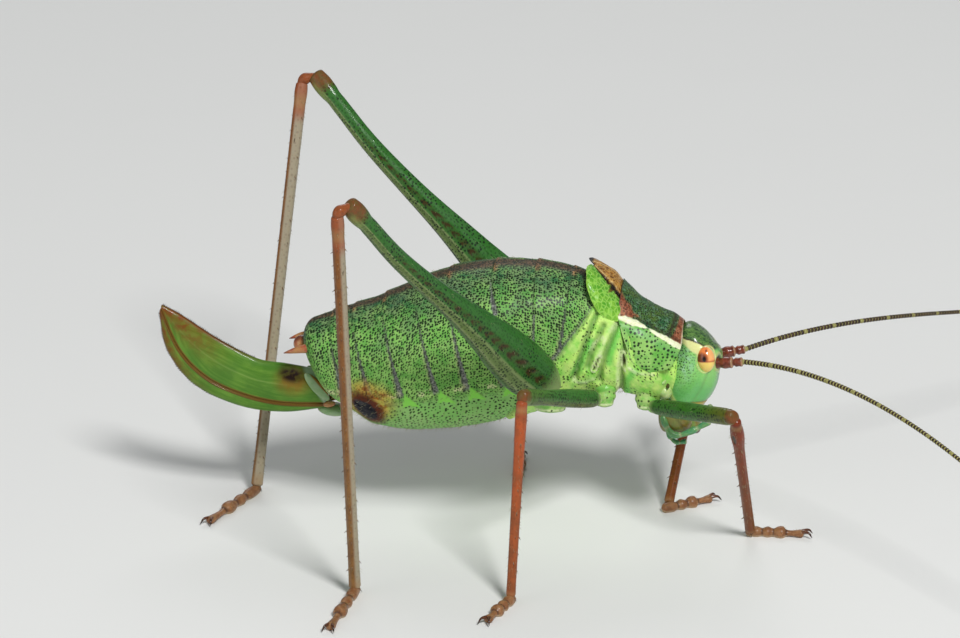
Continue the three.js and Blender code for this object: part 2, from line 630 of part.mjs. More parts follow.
// A foot of four lobes flat on the floor, with a pair of claws
function foot(ankle, toes, length, grow = 0) {
  const ahead = new THREE.Vector3(Math.cos(degToRad(toes)), Math.sin(degToRad(toes)), 0);
  const aside = new THREE.Vector3(-ahead.y, ahead.x, 0);
  const rows = [[0, 0], [0, 0.75], ...lobes.map(([at]) => [at, 1]), [1, 0.5], [1, 0]];
  const start = ankle.clone().addScaledVector(ahead, -soleRadius);
  const sole = solid(ringed(rows, footSides, (at, angle, size) => {
    const reach = (soleRadius * lobeWidth(at) + grow) * size;
    return start.clone()
      .addScaledVector(ahead, at * length)
      .addScaledVector(aside, Math.cos(angle) * reach)
      .setZ(Math.max(soleRadius * soleLift + Math.sin(angle) * reach, 0));
  }));
  const claws = [-1, 1].map((side) => {
    const root = start.clone().addScaledVector(ahead, length * claw.root);
    const spots = claw.height.map((height, i) => root.clone()
      .addScaledVector(ahead, claw.ahead[i])
      .addScaledVector(aside, side * claw.aside[i])
      .setZ(height));
    const hook = new THREE.QuadraticBezierCurve3(...spots);
    return solid(tube(hook, (at) => lerp(...claw.radii, at), claw.rows, claw.sides));
  });
  return sole.add(claws[0]).add(claws[1]);
}

function addLeg({ name, pair, side, hip, knee, ankle, toes }) {
  const form = pairs[pair];
  const hipSpot = new THREE.Vector3(...hip);
  const kneeSpot = new THREE.Vector3(...knee);
  const ankleSpot = new THREE.Vector3(ankle[0], ankle[1], 0);
  const shin = ankleSpot.clone().sub(kneeSpot).normalize();
  const thigh = kneeSpot.clone().sub(hipSpot).normalize();
  const bend = thigh.clone().cross(shin);
  const inward = shin.clone().addScaledVector(thigh, -shin.dot(thigh)).normalize();
  const shinStart = kneeSpot.clone()
    .addScaledVector(inward, form.kneeDrop)
    .addScaledVector(thigh, form.kneeReach);
  const shinEnd = ankleSpot.clone().lerp(shinStart, ankleHeight / shinStart.z);
  const femurEnd = kneeSpot.clone().addScaledVector(thigh, kneeRadius);
  const coxaRoom = solid(egg(form.coxa, side, seam));
  const femurRoom = limb(hipSpot, femurEnd, bend, form.femur, seam, form.femurBow);
  const footRoom = foot(ankleSpot, toes, form.tarsus, seam);
  const coxaBody = solid(egg(form.coxa, side));
  const femurBody = limb(hipSpot, femurEnd, bend, form.femur, 0, form.femurBow);
  const femur = without(femurBody, coxaRoom, trunkRoom);
  const shinBody = limb(shinStart, shinEnd, bend, form.tibia);
  const arm = new THREE.LineCurve3(kneeSpot, shinStart);
  const joint = solid(tube(arm, () => kneeJoint.radius, kneeJoint.rows, kneeJoint.sides));
  const tibia = without(pair === 'hind' ? shinBody.add(joint) : shinBody, femurRoom, footRoom);
  add(`coxa_${name}`, 'paleGreen', surface(without(coxaBody, trunkRoom)));
  add(`femur_${name}`, 'green', surface(femur));
  add(`tibia_${name}`, pair === 'hind' ? 'greyBrown' : 'redBrown', surface(tibia));
  add(`tarsus_${name}`, 'redBrown', surface(foot(ankleSpot, toes, form.tarsus)));
}

// ---------------------------------------------------------------- Assembly

addAbdomen();
addThorax();
addHead();
for (const side of [-1, 1]) {
  addTegmen(side);
  addAntenna(side);
}
addTail();
legs.forEach(addLeg);

// The origin is on the floor, under the middle of the whole insect
const box = new THREE.Box3().setFromObject(insect);
const centre = box.getCenter(new THREE.Vector3());
insect.position.set(-centre.x, -centre.y, -box.min.z);

export default insect;
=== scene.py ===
"""Adult female speckled bush-cricket with a saw-edged ovipositor: the finished surface over its solids."""

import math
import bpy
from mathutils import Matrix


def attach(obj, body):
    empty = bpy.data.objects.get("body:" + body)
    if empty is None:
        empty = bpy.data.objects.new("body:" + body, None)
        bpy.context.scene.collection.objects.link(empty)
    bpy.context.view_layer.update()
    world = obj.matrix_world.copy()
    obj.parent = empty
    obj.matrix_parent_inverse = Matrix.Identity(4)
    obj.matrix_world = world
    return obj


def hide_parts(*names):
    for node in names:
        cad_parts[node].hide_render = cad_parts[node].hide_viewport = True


bl_info = {
    "name": "Bush-cricket",
    "version": (1, 0, 0),
    "blender": (4, 5, 0),
    "location": "View3D > Sidebar > Bush-cricket",
    "description": "Makes the skin, shell plates, eyes, feelers, legs and hairs of a life-size bush-cricket",
    "category": "Object",
}

import bpy
import numpy as np
from bpy.props import FloatProperty, FloatVectorProperty, IntProperty, PointerProperty
from bpy.types import Operator, Panel, PropertyGroup
from mathutils import Vector

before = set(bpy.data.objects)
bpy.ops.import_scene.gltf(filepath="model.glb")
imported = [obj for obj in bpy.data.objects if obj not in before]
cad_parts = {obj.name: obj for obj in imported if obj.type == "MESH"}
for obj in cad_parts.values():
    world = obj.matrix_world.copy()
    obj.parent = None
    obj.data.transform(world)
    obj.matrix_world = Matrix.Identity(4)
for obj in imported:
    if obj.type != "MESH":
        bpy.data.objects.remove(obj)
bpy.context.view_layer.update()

# ---------------------------------------------------------------- Driving dimensions, in millimetres

MM = 0.001
DRAWN_FROM = np.array([-11.263, 0.0, 0.0])  # the drawing's zero, seen from the frame's origin

TRUNK_START = -7.9
TRUNK_END = 9.4
TAIL_ROUND = 0.75  # length of the trunk's rounded rear end
NECK_FROM = 8.35
REAR_LEAN = 25.0
REAR_LEAN_FROM = -5.0
TRUNK_SQUARENESS = 2.15
# Borders between plates, from the side: a point (x, z) on each, and its lean in degrees
WAIST = (3.85, 9.25, -35.0)
BORDERS = (
    (-6.35, 7.7, 15.0),
    (-5.0, 7.7, 19.0),
    (-3.5, 8.0, 18.0),
    (-1.85, 8.4, 18.0),
    (-0.4, 8.7, 16.0),
    (1.35, 9.0, 10.0),
    (2.85, 9.3, 3.0),
)
FIRST_BORDER = (4.0, 9.5, -6.0)

SADDLE_LIFT = 0.14
HEAD_TOP = 10.12
HEAD_FOOT = 5.75
HEAD_SQUARENESS = 2.25
HEAD_ROLL = 8.0
HEAD_PIVOT = 8.2
EYE_CENTRE = (10.6, 1.16, 8.64)
EYE_HALF = (0.43, 0.42, 0.62)
EYE_LEAN = 4.0


def profile(*keys):
    """A smooth value between (position, value) keys, level beyond both ends."""
    at = np.array([key[0] for key in keys], float)
    value = np.array([key[1] for key in keys], float)
    before = np.maximum(np.arange(len(keys)) - 1, 0)
    after = np.minimum(np.arange(len(keys)) + 1, len(keys) - 1)
    slope = (value[after] - value[before]) / (at[after] - at[before])

    def read(position):
        position = np.asarray(position, float)
        i = np.clip(np.searchsorted(at, position, side="left") - 1, 0, len(keys) - 2)
        span = at[i + 1] - at[i]
        t = np.clip((position - at[i]) / span, 0, 1)
        rise = t * t * (3 - 2 * t)
        leave = t * (1 - t) ** 2 * span * slope[i]
        arrive = t * t * (t - 1) * span * slope[i + 1]
        return value[i] + (value[i + 1] - value[i]) * rise + leave + arrive

    return read


axis_height = profile(
    (-8.3, 7.5), (-6.8, 7.68), (-5.2, 7.74), (-3.6, 8.0), (-1.6, 8.5), (0.6, 8.95),
    (2.6, 9.3), (4.6, 9.5), (6.0, 9.36), (7.4, 9.0), (9.5, 8.2),
)
half_height = profile(
    (-8.3, 1.55), (-7.6, 1.85), (-6.6, 2.28), (-4.9, 3.02), (-2.6, 3.65), (-0.4, 3.88),
    (1.6, 3.75), (3.7, 3.34), (5.2, 2.86), (6.8, 2.42), (8.2, 2.24), (9.5, 1.9),
)
half_width = profile(
    (-8.3, 1.35), (-6.6, 2.0), (-4.4, 2.78), (-1.5, 3.34), (0.8, 3.25), (3.6, 2.62),
    (6.8, 2.05), (8.4, 1.92), (9.5, 1.6),
)
saddle_rear = profile((8.4, 8.1), (8.84, 7.32), (9.55, 7.02), (10.4, 6.72), (11.2, 6.52), (11.7, 6.62), (12.3, 6.86))
saddle_front = profile((8.4, 8.14), (8.52, 8.86), (9.1, 9.3), (9.75, 9.5), (11.0, 9.42))

head_front = profile(
    (5.6, 10.2), (6.1, 10.4), (6.8, 10.9), (7.4, 11.15), (7.9, 11.3), (8.5, 11.34),
    (9.0, 11.13), (9.56, 10.67), (9.97, 10.25), (10.2, 10.0),
)
head_back = profile((5.6, 9.0), (6.4, 8.86), (7.2, 8.76), (7.9, 8.86), (9.0, 9.1), (9.8, 9.24), (10.2, 9.5))
head_width = profile(
    (5.6, 0.85), (6.2, 1.12), (6.9, 1.32), (7.6, 1.42), (8.3, 1.4), (9.0, 1.3),
    (9.5, 1.18), (9.9, 1.0), (10.2, 0.84),
)

# Wings: places along the trunk and angles round it
WING_MIDDLE = (6.0, 58.0)
WING_RIM = (
    (5.1, 84), (5.08, 66), (5.23, 51), (5.43, 43), (5.81, 35.5), (6.28, 33), (6.59, 35.7), (6.76, 39.5), (6.9, 48),
    (6.98, 60), (6.98, 80), (6.9, 95), (6.2, 97), (5.5, 92),
)
wing_fold = profile((5.2, 88), (5.35, 85), (5.74, 76), (6.14, 70), (6.44, 65.5), (6.72, 61), (6.98, 57))
wing_side_lift = profile((5.2, 0.45), (5.6, 0.36), (6.0, 0.22), (6.4, 0.08), (6.9, -0.1))
wing_top_lift = profile((5.2, 0.44), (6.3, 0.38), (6.9, 0.0))
WING_DEGREES = 20.0  # degrees round the trunk to a millimetre

# Ovipositor, from the side
BLADE_UPPER = ((-7.35, 7.15), (-9.1, 7.42), (-10.5, 7.62), (-12.3, 8.52), (-14.08, 9.68), (-15.0, 10.16))
BLADE_RIDGE = ((-7.1, 5.6), (-9.5, 5.58), (-11.4, 5.98), (-12.9, 6.68), (-14.1, 7.95), (-14.98, 9.97))
BLADE_LOWER = ((-6.95, 5.42), (-9.2, 5.02), (-11.4, 5.24), (-13.5, 6.22), (-14.75, 7.9), (-15.1, 9.84))
blade_half_thickness = profile((0, 0.5), (0.25, 0.42), (0.6, 0.3), (0.9, 0.24), (1, 0.12))

CERCUS_PATH = ((-7.5, 0.75, 8.6), (-8.4, 1.0, 8.5), (-9.1, 0.98, 8.3))
CERCUS_RADIUS = 0.21

# Antennae: the whip swings outwards and back, as angles along its length
ANTENNA_ROOT = (10.95, 0.6, 8.42)
WHIP_ROOT = (12.34, 0.85, 8.64)
WHIP_LENGTH = 34.0
WHIP_HEADING = 32.0
WHIP_SWING = 1.3
WHIP_SWING_BACK = 2.9
WHIP_BEND = 16.5
WHIP_PITCH = 9.3
WHIP_DROOP = 2.8
WHIP_RECOVER = 0.09

# Mouthparts: centre, half size, lean of the top backwards in degrees
LABRUM = ((9.86, 0, 5.42), (0.4, 0.56, 0.8), 28.0)
JAW = ((9.2, 0.62, 5.72), (0.78, 0.52, 0.95), 18.0)
LABIUM = ((8.72, 0, 5.5), (0.36, 0.66, 0.78), 0.0)
PALP_PATH = ((8.62, 0.95, 5.85), (8.84, 1.12, 5.36), (9.24, 1.18, 5.0), (9.98, 1.1, 5.2), (10.85, 0.9, 5.68))
SUBGENITAL_PLATE = ((-6.95, 0, 5.22), (0.72, 0.55, 0.3), -6.0)

# Legs: coxa as centre and half size; (share of the length, depth, thickness) along each femur and tibia
STRAIGHT = ((0, 0), (1, 0))
SIDES = ((-1, "right"), (1, "left"))
PAIRS = {
    "fore": {
        "coxa": ((7.85, 1.2, 6.75), (0.52, 0.5, 0.8)),
        "femur": ((0, 0.55, 0.5), (0.08, 0.74, 0.66), (0.35, 0.88, 0.74), (0.7, 0.84, 0.7), (0.92, 0.82, 0.68),
                  (1, 0.64, 0.56)),
        "tibia": ((0, 0.48, 0.46), (0.06, 0.6, 0.54), (0.14, 0.68, 0.6), (0.26, 0.52, 0.48), (0.9, 0.48, 0.46),
                  (1, 0.52, 0.48)),
        "drop": 0.12,
        "reach": 0.1,
        "tarsus": 2.75,
    },
    "mid": {
        "coxa": ((5.95, 1.5, 6.95), (0.55, 0.55, 0.8)),
        "femur": ((0, 0.55, 0.5), (0.08, 0.8, 0.68), (0.35, 0.86, 0.7), (0.7, 0.72, 0.62), (0.92, 0.78, 0.62),
                  (1, 0.62, 0.54)),
        "tibia": ((0, 0.48, 0.46), (0.05, 0.6, 0.54), (0.3, 0.5, 0.48), (0.9, 0.44, 0.42), (1, 0.48, 0.44)),
        "drop": 0.12,
        "reach": 0.05,
        "tarsus": 2.8,
    },
    "hind": {
        "coxa": ((3.45, 1.75, 6.75), (0.95, 0.8, 0.9)),
        "femur": ((0, 1.1, 0.7), (0.05, 2.0, 1.0), (0.14, 2.45, 1.2), (0.24, 2.28, 1.15), (0.35, 1.75, 1.02),
                  (0.5, 1.22, 0.86), (0.66, 0.95, 0.78), (0.9, 0.8, 0.7), (0.96, 0.94, 0.72), (1, 0.78, 0.6)),
        "bow": ((0, 0), (0.14, 0.08), (0.4, 0.12), (0.6, 0.26), (0.76, 0.28), (0.9, 0.1), (1, 0)),
        "tibia": ((0, 0.54, 0.5), (0.03, 0.64, 0.56), (0.08, 0.58, 0.52), (0.9, 0.53, 0.48), (1, 0.58, 0.52)),
        "drop": 0.68,
        "reach": 0.34,
        "tarsus": 4.7,
    },
}
# Each leg: name, pair, side, hip, knee, ankle on the floor, and the way its toes point in degrees
LEGS = (
    ("fore_right", "fore", -1, (8.15, -1.45, 6.5), (12.13, -5.84, 7.82), (12.83, -0.9), 0.0),
    ("fore_left", "fore", 1, (8.15, 1.45, 6.5), (9.9, 7.3, 6.5), (8.72, 1.6), 35.0),
    ("mid_right", "mid", -1, (5.65, -1.8, 6.9), (2.81, -8.55, 9.5), (2.4, -10.02), -109.0),
    ("mid_left", "mid", 1, (5.65, 1.8, 6.9), (1.61, 8.08, 9.16), (1.33, 5.0), 92.0),
    ("hind_right", "hind", -1, (3.68, -2.95, 7.6), (-4.42, -12.47, 19.68), (-4.74, -9.6), -98.0),
    ("hind_left", "hind", 1, (3.68, 2.95, 7.6), (-8.65, 8.49, 18.8), (-10.93, 1.9), -112.0),
)
SOLE_RADIUS = 0.27
KNEE_RADIUS = 0.22
KNEE_ARM = 0.25
ANKLE_HEIGHT = 0.3
LIMB_CAP = 0.16  # length of a limb's rounded ends
FOOT_CAP = 0.14

# Stage, in metres and degrees: the camera's rise above the floor and its swing from square to the right side
TARGET = (-0.011263, 0.0, 0.009976)
CAMERA_RISE = 20.4
CAMERA_SWING = 5.8
CAMERA_DISTANCE = 0.25
CAMERA_LENS = 201.6
FLOOR_HALF = 2
# Each light: name, place, width and power
LIGHTS = (
    ("key_light", (0.12, -0.25, 0.30), 0.10, 1.45),
    ("fill_light", (-0.28, -0.22, 0.12), 0.25, 0.20),
    ("back_light", (-0.05, 0.30, 0.24), 0.20, 0.26),
)


# ---------------------------------------------------------------- Drawing with arrays

def smooth(value, low, high):
    """0 below low, 1 above high, smooth between; low may be the larger one."""
    t = np.clip((value - low) / (high - low), 0, 1)
    return t * t * (3 - 2 * t)


def squared(value, squareness):
    """Cosine or sine of a section that is squarer than an ellipse."""
    return np.sign(value) * np.abs(value) ** (2 / squareness)


def distance_to_line(x, z, line):
    """How far points of the side view are from a line of (x, z) points."""
    best = np.full(np.shape(x), np.inf)
    for (ax, az), (bx, bz) in zip(line, line[1:]):
        along = np.array([bx - ax, bz - az])
        share = np.clip(((x - ax) * along[0] + (z - az) * along[1]) / (along @ along), 0, 1)
        best = np.minimum(best, np.hypot(x - ax - share * along[0], z - az - share * along[1]))
    return best


def line_mask(x, z, line, half_width_of_line, soft=0.05):
    """1 on a line of the side view, 0 away from it."""
    return 1 - smooth(distance_to_line(x, z, line), half_width_of_line - soft, half_width_of_line + soft)


def spot_mask(x, z, centre, half, soft=0.3):
    """1 inside an ellipse of the side view, 0 outside."""
    return 1 - smooth(np.hypot((x - centre[0]) / half[0], (z - centre[1]) / half[1]), 1 - soft, 1 + soft)


def line_of(value, at, half_width_of_line):
    """1 where the value is at the given one, fading to 0 over the half width."""
    return 1 - smooth(np.abs(value - at), 0.0, half_width_of_line)


def most(*values):
    """The largest of several values at each point."""
    return np.max(np.broadcast_arrays(*values), 0)


def wander(x, y, z, size):
    """A gentle irregular value between about -1 and 1 that changes over the given size."""
    k = 2 * math.pi / size
    first = np.sin(k * (0.8 * x + 0.5 * z) + 1.3) * np.cos(k * (0.7 * y - 0.3 * x) + 0.4)
    second = np.sin(k * (1.7 * z - 0.9 * y) + 2.1) * np.cos(k * (1.3 * x + 0.8 * z) + 3.7)
    return 0.6 * first + 0.4 * second


def smooth_curve(points, count):
    """Points evenly spaced along a smooth curve through the given ones."""
    points = np.array(points, float)
    padded = np.vstack([2 * points[0] - points[1], points, 2 * points[-1] - points[-2]])
    t = np.linspace(0, 1, 24, endpoint=False)[:, None]
    spots = []
    for a, b, c, d in zip(padded, padded[1:], padded[2:], padded[3:]):
        bend = (2 * a - 5 * b + 4 * c - d) * t**2 + (3 * b - a - 3 * c + d) * t**3
        spots.append(0.5 * (2 * b + (c - a) * t + bend))
    spots = np.vstack([*spots, points[-1:]])
    run = np.concatenate([[0], np.cumsum(np.linalg.norm(np.diff(spots, axis=0), axis=1))])
    even = np.linspace(0, run[-1], count)
    return np.stack([np.interp(even, run, spots[:, i]) for i in range(points.shape[1])], 1)


def circle(count):
    """Evenly spaced angles once round."""
    return np.linspace(0, 2 * math.pi, count, endpoint=False)


def unit(vectors):
    """The same directions with a length of 1."""
    vectors = np.asarray(vectors, float)
    return vectors / np.linalg.norm(vectors, axis=-1, keepdims=True)


def sweep(path, radii, sides, up=(0, 0, 1)):
    """Rings round a path: radii is one radius, or a (depth, width) pair, for each point of the path."""
    path = np.asarray(path, float)
    ahead = unit(np.gradient(path, axis=0))
    aside = unit(np.cross(ahead, np.asarray(up, float)))
    above = np.cross(aside, ahead)
    radii = np.asarray(radii, float)
    deep, wide = (radii, radii) if radii.ndim == 1 else (radii[:, 0], radii[:, 1])
    angle = circle(sides)
    rings = path[:, None] + above[:, None] * (deep[:, None] * np.sin(angle))[..., None]
    return rings + aside[:, None] * (wide[:, None] * np.cos(angle))[..., None]


def round_ends(count, length, cap):
    """Positions from just inside 0 to just inside the length, and sizes that round off both ends."""
    turn = np.linspace(0, math.pi / 2, 9)[1:-1]
    start = cap * (1 - np.cos(turn))
    positions = np.concatenate([start, np.linspace(cap, length - cap, count), length - start[::-1]])
    sizes = np.concatenate([np.sin(turn), np.ones(count), np.sin(turn)[::-1]])
    return positions, sizes


def egg(centre, half, lean, side, rows, sides):
    """An ellipsoid whose top leans backwards, and its points' places from -1 to 1 before it leans."""
    polar = np.linspace(0, math.pi, rows + 2)[1:-1, None]
    turn = circle(sides)[None, :]
    place = np.stack([np.sin(polar) * np.cos(turn), np.sin(polar) * np.sin(turn), np.cos(polar) + 0 * turn], -1)
    lean = math.radians(lean)
    x, y, z = np.moveaxis(place * half, -1, 0)
    points = np.stack([x * math.cos(lean) - z * math.sin(lean), y, x * math.sin(lean) + z * math.cos(lean)], -1)
    return points + [centre[0], centre[1] * side, centre[2]], place


def rolled(points):
    """The same points once the head is turned a little to the insect's left."""
    turn = math.radians(-HEAD_ROLL)
    y = points[..., 1]
    z = points[..., 2] - HEAD_PIVOT
    across = y * math.cos(turn) - z * math.sin(turn)
    up = y * math.sin(turn) + z * math.cos(turn) + HEAD_PIVOT
    return np.stack([points[..., 0], across, up], -1)


# ---------------------------------------------------------------- Making meshes

class Piece:
    """Gathers closed surfaces, and the masks their finishes read, into one mesh."""

    def __init__(self, name):
        self.name = name
        self.surfaces = []

    def add(self, points, finish, top=0, **masks):
        """Adds rings of points, each ring closed; the first and the last close to one point. The surface
        keeps how far each point is along it, and how far round it from the ring's top point."""
        points = np.asarray(points, float)
        masks["run"] = np.concatenate([[0], np.cumsum(steps(points, 0).mean(1))])[:, None]
        strides = np.roll(steps(np.concatenate([points, points[:, :1]], 1), 1), -top, 1)
        passed = np.cumsum(strides, 1) - strides
        masks["round"] = np.roll(np.minimum(passed, strides.sum(1, keepdims=True) - passed), top, 1)
        points = np.concatenate([
            np.broadcast_to(points[0].mean(0), (1, *points[0].shape)),
            points,
            np.broadcast_to(points[-1].mean(0), (1, *points[-1].shape)),
        ])
        shape = points.shape[:2]
        spread = {name: np.broadcast_to(mask, (shape[0] - 2, shape[1])) for name, mask in masks.items()}
        spread = {name: np.concatenate([mask[:1], mask, mask[-1:]]) for name, mask in spread.items()}
        self.surfaces.append((points, finish, spread))

    def finish(self, slot, *nodes):
        """Makes the object, rides it on the body and lets it stand for the named nodes."""
        finishes = []
        places, faces, slots, maps = [], [], [], []
        names = sorted({name for _, _, masks in self.surfaces for name in masks})
        values = {name: [] for name in names}
        first = 0
        for number, (points, finish, masks) in enumerate(self.surfaces):
            if finish not in finishes:
                finishes.append(finish)
            rings, sides = points.shape[:2]
            kept = np.zeros((rings, sides), bool)
            kept[1:-1] = True
            kept[0, 0] = kept[-1, 0] = True
            index = np.zeros((rings, sides), int)
            index[kept] = first + np.arange(kept.sum())
            index[0] = index[0, 0]
            index[-1] = index[-1, 0]
            places.append(points[kept])
            for name in names:
                mask = masks.get(name, np.zeros((rings, sides)))
                values[name].append(mask[kept])
            made, corners = ring_faces(index, points)
            faces += made
            slots += [finishes.index(finish)] * len(made)
            maps.append((corners + [number, 0]) / [len(self.surfaces), 1])
            first += kept.sum()
        mesh = bpy.data.meshes.new(self.name)
        mesh.from_pydata(to_frame(np.concatenate(places)), [], faces)
        for finish in finishes:
            mesh.materials.append(finish)
        mesh.polygons.foreach_set("material_index", slots)
        for name in names:
            keep(mesh, name, np.concatenate(values[name]))
        layer = mesh.uv_layers.new(name="OFBake")
        layer.uv.foreach_set("vector", np.concatenate(maps).astype(np.float32).ravel())
        mesh.shade_smooth()
        return ready(bpy.data.objects.new(self.name, mesh), slot, *nodes)


def keep(mesh, name, value):
    """Keeps a number or a vector under a name at each point of a mesh."""
    value = np.asarray(value, np.float32)
    vector = value.ndim == 2
    layer = mesh.attributes.new(name, "FLOAT_VECTOR" if vector else "FLOAT", "POINT")
    layer.data.foreach_set("vector" if vector else "value", value.ravel())


def steps(points, axis):
    """Distances between neighbouring points."""
    return np.linalg.norm(np.diff(points, axis=axis), axis=-1)


def ring_faces(index, points):
    """Faces that point outwards between rings of vertices, and each corner's place on a square map."""
    rings, sides = index.shape
    up = np.arange(rings - 1)[:, None]
    on = np.arange(sides)[None, :]
    after = (on + 1) % sides
    quads = np.stack(np.broadcast_arrays(index[up, on], index[up, after], index[up + 1, after], index[up + 1, on]), -1)
    flat = np.stack(np.broadcast_arrays(on, on + 1, on + 1, on), -1) / sides
    high = np.stack(np.broadcast_arrays(up, up, up + 1, up + 1), -1) / (rings - 1)
    corners = np.stack([np.broadcast_to(flat, high.shape[:1] + flat.shape[1:]), np.broadcast_to(high, quads.shape)], -1)
    a, b, c, d = (points[up, on], points[up, after], points[up + 1, after], points[up + 1, on])
    middle = points.mean((0, 1))
    volume = np.einsum("ijk,ijk->", a - middle, np.cross(b - middle, c - middle))
    volume += np.einsum("ijk,ijk->", a - middle, np.cross(c - middle, d - middle))
    order = [0, 1, 2, 3] if volume > 0 else [3, 2, 1, 0]
    faces, places = [], []
    for row, (quad_row, corner_row) in enumerate(zip(quads, corners)):
        spare = {0: 1, rings - 2: 3}.get(row)
        turn = [i for i in order if i != spare]
        faces += quad_row[:, turn].tolist()
        places.append(corner_row[:, turn].reshape(-1, 2))
    return faces, np.concatenate(places)


def to_frame(points):
    """Drawn millimetres as metres in the frame."""
    return (np.asarray(points, float) + DRAWN_FROM) * MM


def link(made):
    """Puts an object in the scene."""
    bpy.context.scene.collection.objects.link(made)
    return made


def ready(made, slot, *nodes):
    """Links a finished object, rides it on the body and lets it stand for the named nodes."""
    link(made)
    if nodes:
        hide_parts(*nodes)
    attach(made, "root")
    return made


# ---------------------------------------------------------------- Settings

def length_setting(name, description, default):
    """A length in metres that the panel shows."""
    return FloatProperty(name=name, description=description, default=default, unit="LENGTH", subtype="DISTANCE",
                         precision=6, min=0)


def colour_setting(name, description, default):
    """A colour that the panel shows."""
    return FloatVectorProperty(name=name, description=description, default=default, subtype="COLOR", size=3,
                               min=0, max=1)


class CricketSizes(PropertyGroup):
    """Sizes of what repeats over the insect"""

    speck_spacing: length_setting("Speck spacing", "Distance between the black specks of the trunk", 0.000128)
    speck_size: FloatProperty(name="Speck size", description="Radius of a speck as a share of its spacing",
                              default=0.27, min=0, max=0.5)
    tergite_lift: length_setting("Plate edge", "Height of the rear edge of each back plate", 0.00006)
    ring_length: length_setting("Feeler ring", "Length of one ring of a feeler", 0.00018)
    spine_length: length_setting("Spine length", "Length of the spines of the shins", 0.00024)
    hair_length: length_setting("Hair length", "Length of the fine hairs", 0.00022)
    tooth_length: length_setting("Tooth length", "Length of a tooth of the ovipositor", 0.00012)
    hair_seed: IntProperty(name="Hair seed", description="Arrangement of the fine hairs", default=7, min=0)


class CricketColours(PropertyGroup):
    """Colours of the insect's parts"""

    green: colour_setting("Green", "Flanks of the abdomen", (0.135, 0.37, 0.07))
    deep_green: colour_setting("Deep green", "Back and thighs", (0.055, 0.15, 0.045))
    blue_green: colour_setting("Blue green", "Sides of the back", (0.035, 0.135, 0.05))
    face_green: colour_setting("Face green", "Cheeks", (0.15, 0.47, 0.12))
    purple: colour_setting("Purple", "Stripe down the back and slits between plates", (0.045, 0.026, 0.022))
    cream: colour_setting("Cream", "Side line and rims", (0.78, 0.80, 0.50))
    speck: colour_setting("Speck", "Black specks", (0.008, 0.018, 0.008))
    tan: colour_setting("Tan", "Hind shins", (0.23, 0.115, 0.035))
    rust: colour_setting("Rust", "Corner patches", (0.17, 0.035, 0.014))
    orange: colour_setting("Orange", "Upper part of the eye", (0.90, 0.27, 0.06))
    eye_yellow: colour_setting("Eye yellow", "Lower part of the eye", (0.88, 0.66, 0.14))
    feeler: colour_setting("Feeler", "Whips of the feelers", (0.022, 0.014, 0.010))
    blade: colour_setting("Blade", "Ovipositor", (0.075, 0.20, 0.02))
    floor: colour_setting("Floor", "Floor under the insect", (0.80, 0.80, 0.78))


# ---------------------------------------------------------------- Building node trees

class Tree:
    """Short ways to add nodes to a tree. A value that is a socket is linked, any other is set."""

    def __init__(self, tree):
        self.tree = tree

    def put(self, socket, value):
        """Links a socket to an input, or sets the input to a value."""
        if isinstance(value, bpy.types.NodeSocket):
            self.tree.links.new(value, socket)
        elif socket.type == "RGBA":
            socket.default_value = (*value[:3], 1)
        else:
            socket.default_value = value

    def node(self, kind, inputs=None, **settings):
        """A node of the given kind, with its inputs by name or number."""
        made = self.tree.nodes.new(kind)
        for name, value in settings.items():
            setattr(made, name, value)
        for name, value in (inputs or {}).items():
            self.put(made.inputs[name], value)
        return made

    def maths(self, operation, *values):
        """A sum on numbers."""
        return self.node("ShaderNodeMath", dict(enumerate(values)), operation=operation).outputs[0]

    def times(self, first, second):
        """Two numbers multiplied."""
        return self.maths("MULTIPLY", first, second)

    def vectors(self, operation, *values):
        """A sum on vectors."""
        return self.node("ShaderNodeVectorMath", dict(enumerate(values)), operation=operation).outputs[0]

    def split(self, vector):
        """The x, y and z of a vector."""
        return self.node("ShaderNodeSeparateXYZ", {0: vector}).outputs

    def join(self, *parts):
        """The vector with the given x, y and z."""
        return self.node("ShaderNodeCombineXYZ", dict(enumerate(parts))).outputs[0]

    def ramp(self, value, low, high, start=0.0, end=1.0):
        """start below low, end above high, smooth between."""
        inputs = {"Value": value, 1: low, 2: high, 3: start, 4: end}
        return self.node("ShaderNodeMapRange", inputs, interpolation_type="SMOOTHSTEP").outputs[0]

    def mix(self, share, first, second):
        """The first colour where the share is 0, the second where it is 1."""
        return self.node("ShaderNodeMix", {0: share, 6: first, 7: second}, data_type="RGBA").outputs[2]

    def fade(self, value, start, end):
        """start where the value is 0, end where it is 1."""
        return self.ramp(value, 0.0, 1.0, start, end)

    def lay(self, colour, *coats):
        """Coats over a colour, one after another: (mask or its name, strength or 1, colour)."""
        for where, strength, coat in coats:
            share = self.mask(where) if isinstance(where, str) else where
            if strength != 1:
                share = self.maths("MULTIPLY", share, strength)
            colour = self.mix(share, colour, coat)
        return colour

    def mask(self, name):
        """A value that a mesh keeps at its points."""
        return self.node("ShaderNodeAttribute", attribute_name=name).outputs["Fac"]

    def group(self, tree, inputs):
        """The output of a shared node group."""
        return self.node("ShaderNodeGroup", inputs, node_tree=tree).outputs[0]

    def millimetres(self):
        """The surface's own place, in millimetres."""
        place = self.node("ShaderNodeTexCoord").outputs["Object"]
        return self.vectors("MULTIPLY", place, (1000, 1000, 1000))

    def skin_place(self):
        """How far along and round the surface, in millimetres, different on the two sides of the insect."""
        place = self.node("ShaderNodeTexCoord").outputs["Object"]
        side = self.maths("GREATER_THAN", self.split(place)[1], 0.0)
        return self.join(self.maths("MULTIPLY_ADD", side, 40.0, self.mask("run")), self.mask("round"))

    def bump(self, height, distance):
        """The surface's direction with a relief of the given height in metres."""
        return self.node("ShaderNodeBump", {"Height": height, "Distance": distance, "Strength": 1.0}).outputs[0]


